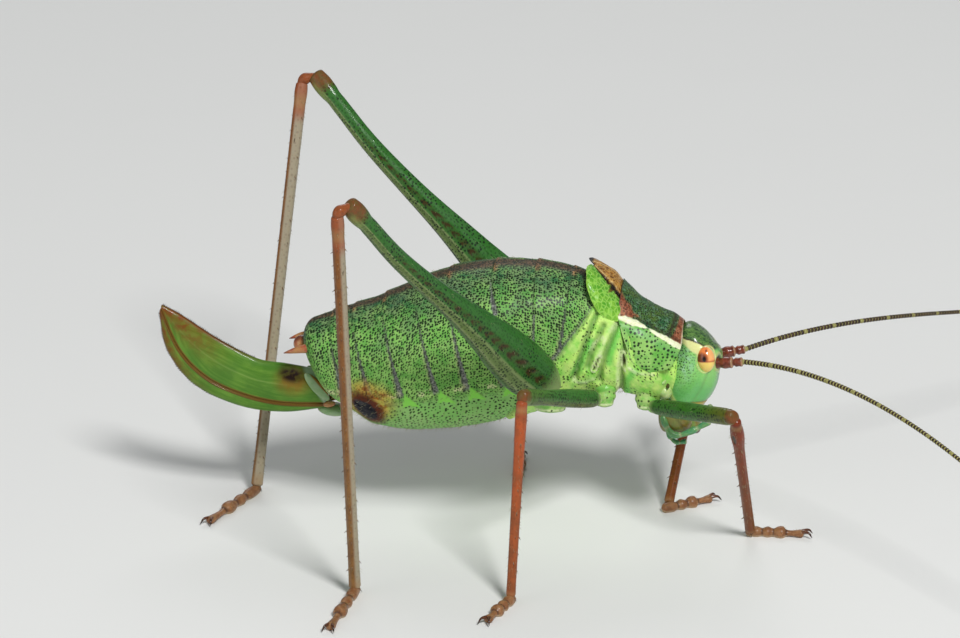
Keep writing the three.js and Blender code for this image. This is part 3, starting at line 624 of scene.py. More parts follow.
def new_group(name, inputs, outputs, kind="ShaderNodeTree"):
    """An empty node group with the given sockets: {name: (type, default)}."""
    made = bpy.data.node_groups.new(name, kind)
    for label, (socket, default) in inputs.items():
        added = made.interface.new_socket(label, in_out="INPUT", socket_type=f"NodeSocket{socket}")
        if default is not None:
            added.default_value = default
    for label, socket in outputs.items():
        made.interface.new_socket(label, in_out="OUTPUT", socket_type=f"NodeSocket{socket}")
    tree = Tree(made)
    return made, tree, made.nodes.new("NodeGroupInput").outputs, made.nodes.new("NodeGroupOutput").inputs


def group_once(name, build):
    """A shared node group, built the first time that it is asked for."""
    found = bpy.data.node_groups.get(name)
    return found if found else build(name)


def specks_group(name):
    """Dark specks of uneven size: 1 on a speck."""
    inputs = {"Vector": ("Vector", None), "Spacing": ("Float", 0.2), "Size": ("Float", 0.3), "Soft": ("Float", 0.07)}
    made, tree, given, result = new_group(name, inputs, {"Mask": "Float"})
    place = tree.vectors("DIVIDE", given["Vector"], given["Spacing"])
    cells = tree.node("ShaderNodeTexVoronoi", {"Vector": place, "Scale": 1.0, "Randomness": 0.74},
                      voronoi_dimensions="2D")
    uneven = tree.node("ShaderNodeSeparateColor", {0: cells.outputs["Color"]}).outputs[0]
    radius = tree.times(given["Size"], tree.fade(uneven, 0.65, 1.35))
    low = tree.maths("SUBTRACT", radius, given["Soft"])
    high = tree.maths("ADD", radius, given["Soft"])
    tree.put(result["Mask"], tree.ramp(cells.outputs["Distance"], low, high, 1.0, 0.0))
    return made


def mottle_group(name):
    """Cloudy unevenness from 0 to 1."""
    inputs = {"Vector": ("Vector", None), "Size": ("Float", 1.0), "Sharpness": ("Float", 0.2)}
    made, tree, given, result = new_group(name, inputs, {"Value": "Float"})
    place = tree.vectors("DIVIDE", given["Vector"], given["Size"])
    noise = tree.node("ShaderNodeTexNoise", {"Vector": place, "Scale": 1.0, "Detail": 4.0, "Roughness": 0.6})
    low = tree.maths("ADD", 0.3, given["Sharpness"])
    high = tree.maths("SUBTRACT", 0.7, given["Sharpness"])
    tree.put(result["Value"], tree.ramp(noise.outputs["Fac"], low, high))
    return made


def grain_group(name):
    """Height of the shell's fine leathery grain."""
    inputs = {"Vector": ("Vector", None), "Size": ("Float", 0.1)}
    made, tree, given, result = new_group(name, inputs, {"Height": "Float"})
    place = tree.vectors("DIVIDE", given["Vector"], given["Size"])
    cells = tree.node("ShaderNodeTexVoronoi", {"Vector": place, "Scale": 1.0}, feature="SMOOTH_F1")
    noise = tree.node("ShaderNodeTexNoise", {"Vector": place, "Scale": 0.35, "Detail": 3.0})
    height = tree.maths("MULTIPLY_ADD", cells.outputs["Distance"], 0.6, noise.outputs["Fac"])
    tree.put(result["Height"], height)
    return made


def veins_group(name):
    """A net of raised veins: 1 on a vein."""
    inputs = {"Vector": ("Vector", None), "Size": ("Float", 0.2), "Width": ("Float", 0.08)}
    made, tree, given, result = new_group(name, inputs, {"Mask": "Float"})
    place = tree.vectors("DIVIDE", given["Vector"], given["Size"])
    cells = tree.node("ShaderNodeTexVoronoi", {"Vector": place, "Scale": 1.0}, feature="DISTANCE_TO_EDGE")
    tree.put(result["Mask"], tree.ramp(cells.outputs["Distance"], 0.0, given["Width"], 1.0, 0.0))
    return made


def specks(tree, place, spacing, size, soft=0.07):
    """Dark specks over a surface, from the shared group."""
    inputs = {"Vector": place, "Spacing": spacing, "Size": size, "Soft": soft}
    return tree.group(group_once("Specks", specks_group), inputs)


def mottle(tree, place, size, sharpness=0.05):
    """Cloudy unevenness of the given size in millimetres."""
    inputs = {"Vector": place, "Size": size, "Sharpness": sharpness}
    return tree.group(group_once("Mottle", mottle_group), inputs)


def grain(tree, place, size):
    """Leathery grain of the given size in millimetres."""
    return tree.group(group_once("Grain", grain_group), {"Vector": place, "Size": size})


def veins(tree, place, size, width):
    """A net of veins with meshes of the given size in millimetres."""
    return tree.group(group_once("Veins", veins_group), {"Vector": place, "Size": size, "Width": width})


def shell(name):
    """An empty material and its tree."""
    made = bpy.data.materials.new(name)
    made.use_nodes = True
    made.node_tree.nodes.clear()
    return made, Tree(made.node_tree)


def lacquer(tree, colour, roughness, normal=None, coat=0.0, coat_roughness=0.2, soft=0.0,
            soft_colour=(0.6, 1.0, 0.3), shine=0.22):
    """The shell's own gloss: a Principled shader, a clear coat and a little light let through."""
    shader = tree.node("ShaderNodeBsdfPrincipled", {"Base Color": colour, "Roughness": roughness})
    shader.inputs["Coat Weight"].default_value = coat
    shader.inputs["Coat Roughness"].default_value = coat_roughness
    shader.inputs["IOR"].default_value = 1.45
    shader.inputs["Specular IOR Level"].default_value = shine
    if soft:
        shader.inputs["Subsurface Weight"].default_value = soft
        shader.inputs["Subsurface Scale"].default_value = 0.0004
        shader.inputs["Subsurface Radius"].default_value = soft_colour
    if normal is not None:
        tree.put(shader.inputs["Normal"], normal)
    tree.node("ShaderNodeOutputMaterial", {"Surface": shader.outputs[0]})


# ---------------------------------------------------------------- Trunk: abdomen, thorax and neck in one skin

def trunk_point(x, angle, size=1.0, grow=0.0):
    """A point of the trunk's surface: a station along it, an angle round it and how far it stands out."""
    neck = smooth(x, NECK_FROM, NECK_FROM + 0.6)
    tall = half_height(x) * (1 - neck) + 1.45 * neck
    wide = half_width(x) * (1 - neck) + 1.2 * neck
    middle = axis_height(x) * (1 - neck) + 7.95 * neck
    up = squared(np.sin(angle), TRUNK_SQUARENESS) * size * (tall + grow)
    out = squared(np.cos(angle), TRUNK_SQUARENESS) * size * (wide + grow)
    fade = np.clip((REAR_LEAN_FROM - x) / (REAR_LEAN_FROM - TRUNK_START), 0, 1)
    return np.stack([x - math.tan(math.radians(REAR_LEAN)) * fade * up, out, middle + up], -1)


def trunk_outer(x, angle, lift):
    """The trunk's surface without its neck, lifted: what plates and wings lie on."""
    up = squared(np.sin(angle), TRUNK_SQUARENESS) * (half_height(x) + lift)
    out = squared(np.cos(angle), TRUNK_SQUARENESS) * (half_width(x) + lift)
    return np.stack([x + 0 * up, out, axis_height(x) + up], -1)


def past_border(x, z, border):
    """How far a point of the side view lies in front of a leaning border."""
    return x - border[0] + math.tan(math.radians(border[2])) * (z - border[1])


def plates(x, z):
    """How far each point lies in front of one border between plates, and behind the next one."""
    fronts = np.stack([past_border(x, z, border) for border in (*BORDERS, FIRST_BORDER, WAIST)])
    passed = np.where(fronts > 0, fronts, np.inf).min(0)
    ahead = np.where(fronts <= 0, -fronts, np.inf).min(0)
    return np.where(np.isfinite(passed), passed, 1.0), np.where(np.isfinite(ahead), ahead, 9.0)


plate_foot = profile((-7.5, 6.6), (-4.8, 6.85), (-3.3, 7.1), (-1.5, 7.5), (0.0, 7.72), (2.0, 7.9), (4.0, 8.1))

PLEURA_GROOVES = (
    ((6.6, 10.9), (6.56, 10.67), (6.24, 9.88), (5.97, 9.15), (5.82, 8.51), (5.73, 7.9)),
    ((6.85, 10.4), (6.91, 9.79), (6.82, 9.2), (6.75, 8.6), (6.78, 7.6), (6.6, 6.8)),
    ((5.6, 11.2), (5.2, 10.2), (4.95, 9.4), (4.75, 8.7), (4.6, 8.0)),
    ((5.9, 10.6), (5.62, 9.9), (5.36, 9.3), (5.2, 8.6)),
)
PLEURA_RIDGES = (
    ((6.5, 10.7), (6.16, 10.25), (5.98, 9.9), (5.78, 9.3), (5.6, 8.7)),
    ((6.72, 9.4), (6.62, 8.8), (6.6, 8.2), (6.58, 7.6), (6.45, 7.1)),
    ((5.9, 10.1), (5.54, 9.84), (5.33, 9.5)),
    ((4.57, 7.92), (5.13, 7.87), (5.45, 8.05)),
    ((7.1, 8.62), (7.52, 8.36), (8.2, 8.32)),
)
LEAF_STREAKS = (((6.71, 10.6), (6.45, 10.02), (6.28, 9.4), (6.2, 8.9)), ((5.35, 9.9), (4.95, 9.0), (4.6, 8.4)),
                ((7.3, 8.4), (7.0, 7.9), (7.0, 7.2)))
SPIRACLE = (6.87, 8.9)
PLEURA_SLIT = ((5.74, 9.15), (5.62, 8.85), (5.5, 8.56))


def saddle_dip(x, from_top):
    """How far the hollow of the saddle lies below the plain trunk."""
    return 0.2 * smooth(x, 6.9, 7.7) * (1 - smooth(x, 8.3, 9.2)) * (1 - smooth(from_top, 25, 65))


def trunk_relief(points, angle, lift):
    """Height of the plates, folds and seams over the smooth trunk, and the masks of its colours."""
    side, z = points[..., 0], points[..., 2]
    off = np.abs(points[..., 1])
    round_top = np.abs(np.degrees(np.arctan2(np.sin(angle), np.abs(np.cos(angle)))) - 90)
    passed, gap = plates(side, z)
    share = passed / (passed + np.minimum(gap, 2.0))
    thorax = smooth(past_border(side, z, WAIST), -0.1, 0.15)
    shell_part = 1 - thorax
    foot = plate_foot(side) - 0.2 * np.sin(math.pi * np.clip(share, 0, 1))
    back = smooth(z, foot - 0.08, foot + 0.08)
    belly = (1 - back) * shell_part
    rise = np.clip((z - foot) / (axis_height(side) + half_height(side) - foot), 0, 1)
    tapered = 0.015 + 0.32 * (1 - rise) ** 2.1
    slit = (1 - smooth(gap, tapered, tapered + 0.05)) * back * shell_part * (1 - smooth(rise, 0.6, 0.95))
    wedge = line_mask(side, z, ((0.62, 12.5), (0.78, 11.9), (0.97, 11.3)), 0.02 + 0.1 * smooth(z, 12.5, 11.5), 0.03)
    slit = np.maximum(slit, wedge * (off > 0.3))
    edge = line_of(gap, tapered + 0.08, 0.06) * back * shell_part * (1 - smooth(rise, 0.4, 0.7))
    tiles = lift * (1 - share) ** 2 * back * shell_part * (1 - slit)
    tongue = np.clip((z - foot + 0.55) / 0.8, 0, 1)
    beside = np.where(passed < gap, passed, -gap)
    tongue = smooth(0.44 * (1 - tongue) - np.abs(beside - 0.08), 0.0, 0.06) * shell_part * (z > foot - 0.6)
    lobe = line_of(z - foot, 0.2, 0.26) * shell_part * smooth(share, 0.3, 0.5) * (1 - smooth(share, 0.8, 0.95))
    tuck = 0.08 * belly * smooth(foot - z, 0.0, 0.4) * (1 - smooth(foot - z, 0.5, 1.3))
    grooves = most(*[1 - smooth(distance_to_line(side, z, seam), 0.02, 0.2) for seam in PLEURA_GROOVES])
    grooves = most(grooves, line_of(past_border(side, z, WAIST), 0.05, 0.16)) * thorax * (1 - smooth(z, 11.0, 11.6))
    ridges = most(*[1 - smooth(distance_to_line(side, z, ridge), 0.0, 0.15) for ridge in PLEURA_RIDGES]) * thorax
    ridges = ridges * (0.62 + 0.38 * wander(side, points[..., 1], z, 0.5))
    streaks = most(*[1 - smooth(distance_to_line(side, z, line), 0.06, 0.3) for line in LEAF_STREAKS]) * thorax
    plump = 0.13 * thorax * (1 - grooves) * smooth(off, 0.5, 1.4)
    ring = np.hypot((side - SPIRACLE[0]) / 0.09, (z - SPIRACLE[1]) / 0.34)
    small = 1 - smooth(distance_to_line(side, z, PLEURA_SLIT), 0.015, 0.05)
    hole = most(1 - smooth(ring, 0.55, 1.0), small) * thorax
    rim = most(line_of(ring, 1.3, 0.45), line_of(distance_to_line(side, z, PLEURA_SLIT), 0.11, 0.06)) * thorax
    uneven = 0.012 * wander(side, points[..., 1], z, 1.1) + 0.02 * thorax * wander(side, points[..., 1], z, 0.45)
    height = tiles - 0.06 * slit + 0.02 * edge - tuck - 0.15 * grooves + 0.045 * ridges + plump
    height = height - 0.09 * hole + 0.05 * rim + 0.04 * tongue + uneven - saddle_dip(side, round_top)
    masks = {
        "stripe": (1 - smooth(round_top, 4.0, 12.0)) * shell_part,
        "flank": smooth(round_top, 12.0, 62.0),
        "slit": slit,
        "shade": line_of(gap, tapered, 0.05) * back * shell_part * (1 - smooth(rise, 0.6, 0.95)),
        "edge": edge,
        "tongue": tongue,
        "lobe": lobe,
        "belly": belly * smooth(foot - z, 0.05, 0.5),
        "thorax": thorax,
        "fold": grooves,
        "ridge": ridges,
        "streak": streaks,
        "rim": rim,
        "hole": hole,
        "tip": smooth(passed, 0.3, 0.05) * line_of(round_top, 10.0, 9.0) * shell_part,
        "joint": line_of(gap, 0.02, 0.05) * back * shell_part,
        "stain": spot_mask(side, z, (-4.95, 6.55), (1.25, 1.05), 0.4) * shell_part * (off > 0.6),
        "blot": spot_mask(side + 0.45 * (z - 6.0), z, (-5.15, 6.0), (0.52, 0.56), 0.16) * shell_part * (off > 0.6),
        "scorch": spot_mask(side + 0.35 * (z - 6.0), z, (-5.0, 6.1), (0.78, 0.95), 0.3) * shell_part * (off > 0.6),
        # The upper part of the abdomen: its colour is darkened there as painted shade, and its specks grow larger
        # there.
        "haze": smooth(rise, 0.25, 0.8) * shell_part,
    }
    return height, masks


def trunk_finish(sizes, colours):
    """Speckled green shell, purple down the back, yellowish at the thorax, with painted shade over its upper flanks."""
    made, tree = shell("Speckled shell")
    place = tree.millimetres()
    spots = tree.skin_place()
    cloud = mottle(tree, place, 1.4)
    fine = mottle(tree, place, 0.45)
    green = tree.mix(tree.ramp(tree.mask("flank"), 0.05, 1.0), colours.blue_green, colours.green)
    # Painted shade: a mottled darkening over the upper flanks of the abdomen.
    haze = tree.ramp(mottle(tree, place, 0.9), 0.3, 0.9, 0.0, 0.45)
    belly = tree.mix(cloud, (0.21, 0.50, 0.12), (0.29, 0.53, 0.17))
    fresh = tree.mix(mottle(tree, place, 0.7), (0.52, 0.80, 0.17), (0.24, 0.64, 0.09))
    fresh = tree.lay(
        fresh, (fine, 0.45, (0.66, 0.82, 0.28)), ("streak", 0.75, (0.10, 0.52, 0.07)),
        ("fold", 0.7, (0.16, 0.26, 0.09)), ("ridge", 0.85, (0.72, 0.80, 0.46)),
    )
    purple = tree.mix(mottle(tree, place, 0.3), colours.purple, (0.15, 0.075, 0.04))
    furrow = tree.mix(mottle(tree, place, 0.1), (0.09, 0.08, 0.10), (0.32, 0.30, 0.31))
    lobe = tree.times(tree.mask("lobe"), tree.ramp(mottle(tree, place, 0.3), 0.3, 0.75))
    stain = tree.ramp(mottle(tree, place, 0.6), 0.1, 0.7, 0.7, 1.0)
    brown = tree.mix(tree.ramp(mottle(tree, place, 0.35), 0.4, 0.9), (0.56, 0.38, 0.07), (0.30, 0.09, 0.015))
    green = tree.lay(
        green, (fine, 0.55, (0.40, 0.66, 0.18)), ("haze", haze, (0.08, 0.11, 0.09)), ("belly", 0.85, belly),
        ("thorax", 1, fresh), ("stripe", 0.92, purple), ("slit", 0.9, furrow), ("edge", 0.6, (0.48, 0.54, 0.24)),
        ("tongue", 0.85, (0.24, 0.68, 0.08)), (lobe, 0.95, (0.66, 0.72, 0.36)), ("tip", 0.75, (0.42, 0.17, 0.08)),
        ("stain", stain, brown), ("scorch", 1, (0.10, 0.02, 0.006)),
    )
    few = specks(tree, spots, sizes.speck_spacing / MM * 1.55, sizes.speck_size * 0.84)
    size = tree.maths("ADD", tree.fade(tree.mask("haze"), 0.245, 0.32), tree.fade(fine, 0.0, 0.06))
    many = specks(tree, spots, sizes.speck_spacing / MM, size)
    sparse = tree.maths("MAXIMUM", tree.mask("belly"), tree.mask("thorax"))
    kept = tree.ramp(mottle(tree, place, 1.1), 0.35, 0.75, 0.05, 0.9)
    kept = tree.maths("MAXIMUM", kept, tree.mask("belly"))
    dots = tree.mix(sparse, many, tree.times(few, kept))
    for name, outside, inside in (("stain", 0.96, 0.5), ("tongue", 1.0, 0.0), ("slit", 1.0, 0.65), ("ridge", 1.0, 0.2)):
        dots = tree.times(dots, tree.fade(tree.mask(name), outside, inside))
    colour = tree.lay(
        green, (dots, 1, colours.speck), ("joint", 0.5, (0.02, 0.03, 0.015)), ("shade", 0.8, (0.025, 0.03, 0.02)),
        ("rim", 1, (0.66, 0.74, 0.42)), ("hole", 1, (0.04, 0.03, 0.015)), ("blot", 1, (0.006, 0.006, 0.012)),
    )
    height = tree.maths("SUBTRACT", grain(tree, place, 0.1), tree.times(dots, 0.6))
    normal = tree.bump(height, 0.000016)
    gloss = tree.fade(tree.maths("MAXIMUM", tree.mask("blot"), tree.mask("thorax")), 0.5, 0.22)
    lacquer(tree, colour, gloss, normal, coat=0.05, soft=0.03, shine=0.1)
    return made


def make_trunk(settings):
    """The whole skin from the tail to inside the head."""
    turn = np.linspace(0, math.pi / 2, 14)[1:]
    tail = TRUNK_START + TAIL_ROUND * (1 - np.cos(turn))
    body = np.linspace(tail[-1], TRUNK_END, 215)[1:]
    x = np.concatenate([tail, body])[:, None]
    size = np.concatenate([np.sin(turn) ** 0.8, np.ones(len(body) - 4), [0.97, 0.9, 0.75, 0.45]])[:, None]
    angle = circle(300)[None, :]
    plain = trunk_point(x, angle, size)
    height, masks = trunk_relief(plain, angle, settings.sizes.tergite_lift / MM)
    skin = Piece("trunk_skin")
    points = trunk_point(x, angle, size, height - 0.03)
    skin.add(points, trunk_finish(settings.sizes, settings.colours), angle.shape[1] // 4, **masks)
    nodes = [f"abdomen_{number}" for number in range(1, 10)]
    return skin.finish("body", *nodes, "thorax", "prothorax", "neck")


# ---------------------------------------------------------------- Pronotum

def saddle_edges(angle):
    """Where the rear and front edges of the pronotum lie along the trunk, for angles round it."""
    edges = []
    for edge, start in ((saddle_rear, 7.2), (saddle_front, 9.0)):
        x = np.full(angle.shape, start)
        for _ in range(12):
            z = axis_height(x) + squared(np.sin(angle), TRUNK_SQUARENESS) * (half_height(x) + SADDLE_LIFT)
            x = 0.5 * x + 0.5 * edge(z)
        edges.append(x)
    return edges


def pronotum_finish(sizes, colours):
    """Dark green disc with dense specks, bright lobes, a cream line and rust corners; a painted bluish sheen over the
    disc and a painted shadow line above the cream line.
    """
    made, tree = shell("Pronotum")
    place = tree.millimetres()
    spots = tree.skin_place()
    cloud = mottle(tree, place, 0.8)
    disc = tree.mix(cloud, (0.025, 0.11, 0.04), (0.08, 0.15, 0.025))
    # Painted sheen: bluish-grey highlights mottled over the disc.
    painted_sheen = tree.ramp(mottle(tree, place, 0.16), 0.45, 0.95, 0.0, 0.6)
    disc = tree.lay(disc, (painted_sheen, 1, (0.14, 0.26, 0.16)))
    lobe = tree.mix(mottle(tree, place, 0.6), (0.13, 0.40, 0.06), (0.30, 0.55, 0.14))
    colour = tree.mix(tree.mask("lower"), disc, lobe)
    rust = tree.mix(mottle(tree, place, 0.2), colours.rust, (0.40, 0.16, 0.08))
    across = tree.split(place)
    seen = tree.join(across[0], across[2])
    large = specks(tree, seen, sizes.speck_spacing / MM * 1.5, sizes.speck_size * 0.86)
    small = specks(tree, spots, sizes.speck_spacing / MM * 0.85, sizes.speck_size * 1.1)
    dots = tree.mix(tree.mask("lower"), small, large)
    dots = tree.times(dots, tree.fade(tree.mask("rust"), 0.95, 0.55))
    colour = tree.lay(
        colour, ("below", 0.4, (0.12, 0.36, 0.12)), ("rust", 1, rust), (dots, 1, colours.speck),
        # dark: partly a painted shadow line above the cream line
        ("dark", 0.8, (0.03, 0.02, 0.012)),
        ("line", 1, tree.mix(mottle(tree, place, 0.15), (0.88, 0.92, 0.66), colours.cream)),
        ("rim", 0.5, (0.50, 0.64, 0.26)),
    )
    height = tree.maths("SUBTRACT", grain(tree, place, 0.1), tree.times(dots, 0.7))
    lacquer(tree, colour, tree.fade(cloud, 0.38, 0.5), tree.bump(height, 0.00002), coat=0.12, soft=0.04)
    return made


def make_pronotum(settings):
    """A saddle-shaped plate over the front of the thorax, upturned into a point at its rear."""
    low = math.radians(-13)
    angle = np.linspace(low, math.pi - low, 320)[:, None]
    rear, front = saddle_edges(angle)
    over = (1 - np.cos(np.linspace(0, math.pi, 110))) / 2
    along = np.concatenate([over, over[::-1][1:-1]])[None, :]
    layer = np.concatenate([np.ones(110), -np.ones(108)])[None, :]
    x = rear + (front - rear) * along
    edge = np.sin(math.pi * along) ** 0.35
    lift = SADDLE_LIFT * 0.5 + layer * SADDLE_LIFT * 0.5 * edge
    plain = trunk_outer(x, angle, 0.0)
    z = plain[..., 2]
    from_top = np.abs(np.degrees(angle) - 90)
    upturn = np.clip(1 - (x - rear) / 0.9, 0, 1) ** 2 * (1 - smooth(from_top, 8, 42))
    cross = line_mask(plain[..., 0], z, ((7.95, 12.0), (8.1, 11.0), (8.0, 10.3)), 0.02, 0.2)
    upper = layer > 0
    ragged = 0.04 * wander(x, plain[..., 1], z, 0.5)
    line_height = np.interp(x, (6.6, 7.82, 8.37, 8.95, 9.49, 9.7), (10.86, 10.4, 10.07, 9.71, 9.35, 9.2))
    ledge = line_of(z, line_height, 0.2) * upper
    lip = line_of(along, 0.0, 0.05) * (from_top > 60) * upper
    groove = line_of(along, 0.1, 0.06) * (from_top > 60) * upper
    relief = 0.36 * upturn + 0.02 * wander(x, plain[..., 1], z, 1.2) - 0.04 * cross * upper + 0.05 * ledge
    relief = relief - saddle_dip(x, from_top)
    points = trunk_outer(x, angle, lift + relief + 0.05 * lip - 0.04 * groove)
    half = np.interp(x, (6.6, 6.9, 7.3, 7.75, 7.95, 8.15, 8.6, 9.6), (0.05, 0.1, 0.09, 0.04, -0.04, 0.045, 0.075, 0.07))
    half = half + 0.3 * np.abs(ragged)
    line = 1 - smooth(np.abs(z - line_height - ragged), half, half + 0.05)
    front_line = line_of(front - x, 0.02, 0.05) * smooth(z, line_height - 0.1, line_height + 0.1)
    front_line = 0.6 * front_line * (1 - smooth(z, line_height + 0.3, line_height + 0.9))
    rear_line = 0.6 * line_of(x - rear - 0.1, 0.0, 0.05) * smooth(z, 10.8, 10.9) * (1 - smooth(z, 11.05, 11.3))
    front_rust = smooth(0.62 - (front - x) - (z - line_height) * 0.45, 0.0, 0.12)
    rear_rust = smooth(0.62 - (x - rear) * 0.55 - np.abs(z - line_height - 0.3) * 1.4 + 2 * ragged, 0.0, 0.15)
    rust = np.maximum(front_rust, rear_rust) * smooth(z, line_height, line_height + 0.1)
    rust = rust * (1 - smooth(z, line_height + 0.8, line_height + 1.05))
    # Painted shadow: a dark line just above the cream line. The next two lines also darken a band behind the front rust
    # patch and a line along the rim.
    dark = line_of(z - line_height, 0.2, 0.12) * (x > 7.4) * 0.7
    dark = most(dark, line_of(front - x + (z - line_height) * 0.45, 0.72, 0.16) * (z > line_height))
    dark = most(dark, line_of(along, 0.0, 0.03) * (z > line_height + 0.2))
    shield = Piece("pronotum_shield")
    shield.add(points, pronotum_finish(settings.sizes, settings.colours),
               lower=1 - smooth(z, line_height - 0.05, line_height + 0.05), rust=rust, dark=dark,
               below=line_of(z, line_height - 0.3, 0.35), rim=lip,
               line=most(line, front_line, rear_line))
    return shield.finish("pronotum", "pronotum")


# ---------------------------------------------------------------- Wings

def wing_finish():
    """Net-veined: amber on the back, leaf green at the side, with a near-black fold between that is painted shade in
    the crease.
    """
    made, tree = shell("Wing")
    place = tree.millimetres()
    net = veins(tree, tree.vectors("MULTIPLY", place, (1.0, 1.0, 0.7)), 0.2, 0.22)
    leaf = tree.mix(mottle(tree, place, 0.4), (0.07, 0.30, 0.015), (0.20, 0.46, 0.04))
    leaf = tree.lay(leaf, ("shade", 0.75, (0.04, 0.20, 0.02)), (net, 0.55, (0.40, 0.74, 0.12)))
    back = tree.mix(mottle(tree, place, 0.25), (0.36, 0.16, 0.025), (0.12, 0.045, 0.01))
    back = tree.lay(back, (net, 0.6, (0.66, 0.38, 0.09)))
    colour = tree.mix(tree.mask("back"), leaf, back)
    colour = tree.lay(
        # dark: mostly painted shade in the fold's crease
        colour, ("cream", 0.85, (0.72, 0.52, 0.22)), ("dark", 1, (0.010, 0.007, 0.004)),
        ("rim", 0.6, (0.40, 0.66, 0.10)),
    )
    height = tree.maths("ADD", net, tree.times(grain(tree, place, 0.05), 0.3))
    lacquer(tree, colour, 0.34, tree.bump(height, 0.00002), coat=0.2, coat_roughness=0.16, soft=0.06)
    return made


def wing_reach(turn):
    """How far a wing's rim is from its middle, in each direction."""
    spots = (np.array(WING_RIM) - WING_MIDDLE) / [1, WING_DEGREES]
    way = np.arctan2(spots[:, 1], spots[:, 0])
    reach = np.interp(turn, way, np.hypot(*spots.T), period=2 * math.pi)
    return np.mean([np.roll(reach, step, -1) for step in range(-5, 6)], 0)


def make_wings():
    """Two stubby wings that stick out from under the pronotum, the left one on top."""
    finish = wing_finish()
    share = np.linspace(0, 1, 92)[1:-1, None]
    turn = circle(240)[None, :]
    spread = np.sin(share * math.pi) ** 0.35
    cover = 0.5 + 0.5 * np.cos(share * math.pi)
    for side, label in SIDES:
        over = float(side > 0)
        x = WING_MIDDLE[0] + np.cos(turn) * wing_reach(turn) * spread
        angle = WING_MIDDLE[1] + np.sin(turn) * wing_reach(turn) * spread * (WING_DEGREES + over)
        front = smooth(x, 6.8, 6.2)
        stand = wing_side_lift(x) * smooth(angle, 25, 64)
        stand = stand + (wing_top_lift(x) - stand) * smooth(angle, 64, 84) + 0.05 * over
        fold = wing_fold(x) * (1 - over) + 60 * over
        beyond = (angle - fold) / WING_DEGREES
        gap = np.interp(x, (5.3, 6.0, 6.9), (0.06, 0.16, 0.42))
        tip = 0.12 * smooth(x, 5.6, 5.1) * smooth(angle, 50, 80) * (1 - over)
        crease = line_of(beyond, 0.5 * gap, 0.12)
        thick = 0.05 + 0.1 * front
        lift = stand + tip + (thick + 0.05 * np.sin(math.pi * spread) - 0.10 * crease) * cover
        points = trunk_outer(x, np.radians(angle), lift + 0.012 * wander(x, angle / 20, cover, 0.5) * cover)
        points[..., 1] *= side
        # Painted shade: a near-black strip in the crease between the green and the amber fields; the wing's rear end
        # and the amber field's edge are darkened too.
        dark = smooth(beyond, -0.04, 0.03) * (1 - smooth(beyond, gap, gap + 0.06))
        dark = most(dark, smooth(x, 5.3, 5.16) * (beyond > -0.12), smooth(spread, 0.955, 0.99) * (beyond > 0))
        wing = Piece(f"wing_{label}")
        wing.add(points, finish, back=smooth(beyond, -0.02, 0.04), dark=dark, shade=smooth(beyond, -0.7, -0.1),
                 cream=most(line_of(beyond, gap + 0.1, 0.06), line_of(beyond, 1.25, 0.08)),
                 rim=smooth(spread, 0.95, 0.985) * (beyond < -0.1))
        wing.finish("tegmen", f"tegmen_{label}")


# ---------------------------------------------------------------- Head and eyes

def head_point(share, angle, size=1.0, grow=0.0):
    """A point of the head before it is rolled: a share of its height, and an angle from its front."""
    z = HEAD_FOOT + (HEAD_TOP - HEAD_FOOT) * share
    middle = (head_front(z) + head_back(z)) / 2
    ahead = squared(np.cos(angle), HEAD_SQUARENESS) * size * ((head_front(z) - head_back(z)) / 2 + grow)
    aside = squared(np.sin(angle), HEAD_SQUARENESS) * size * (head_width(z) + grow)
    return np.stack([middle + ahead, aside, z + 0 * ahead], -1)


CROWN_LINE = ((9.3, 9.67), (9.66, 9.55), (9.93, 9.51), (10.33, 9.36), (10.54, 9.22), (11.0, 9.0))
EYE_BAND = ((9.2, 9.45), (9.6, 9.28), (9.93, 9.02), (10.2, 8.88), (10.4, 8.9), (10.8, 9.1))
CHEEK_MARGIN = ((9.08, 9.1), (8.9, 8.33), (8.86, 7.6), (9.02, 6.8), (9.3, 6.4))
CHEEK_GROOVE = ((10.72, 7.95), (10.45, 7.3), (10.05, 6.6), (9.7, 6.2))
FACE_RIDGE = ((11.05, 8.1), (10.85, 7.3), (10.5, 6.6))


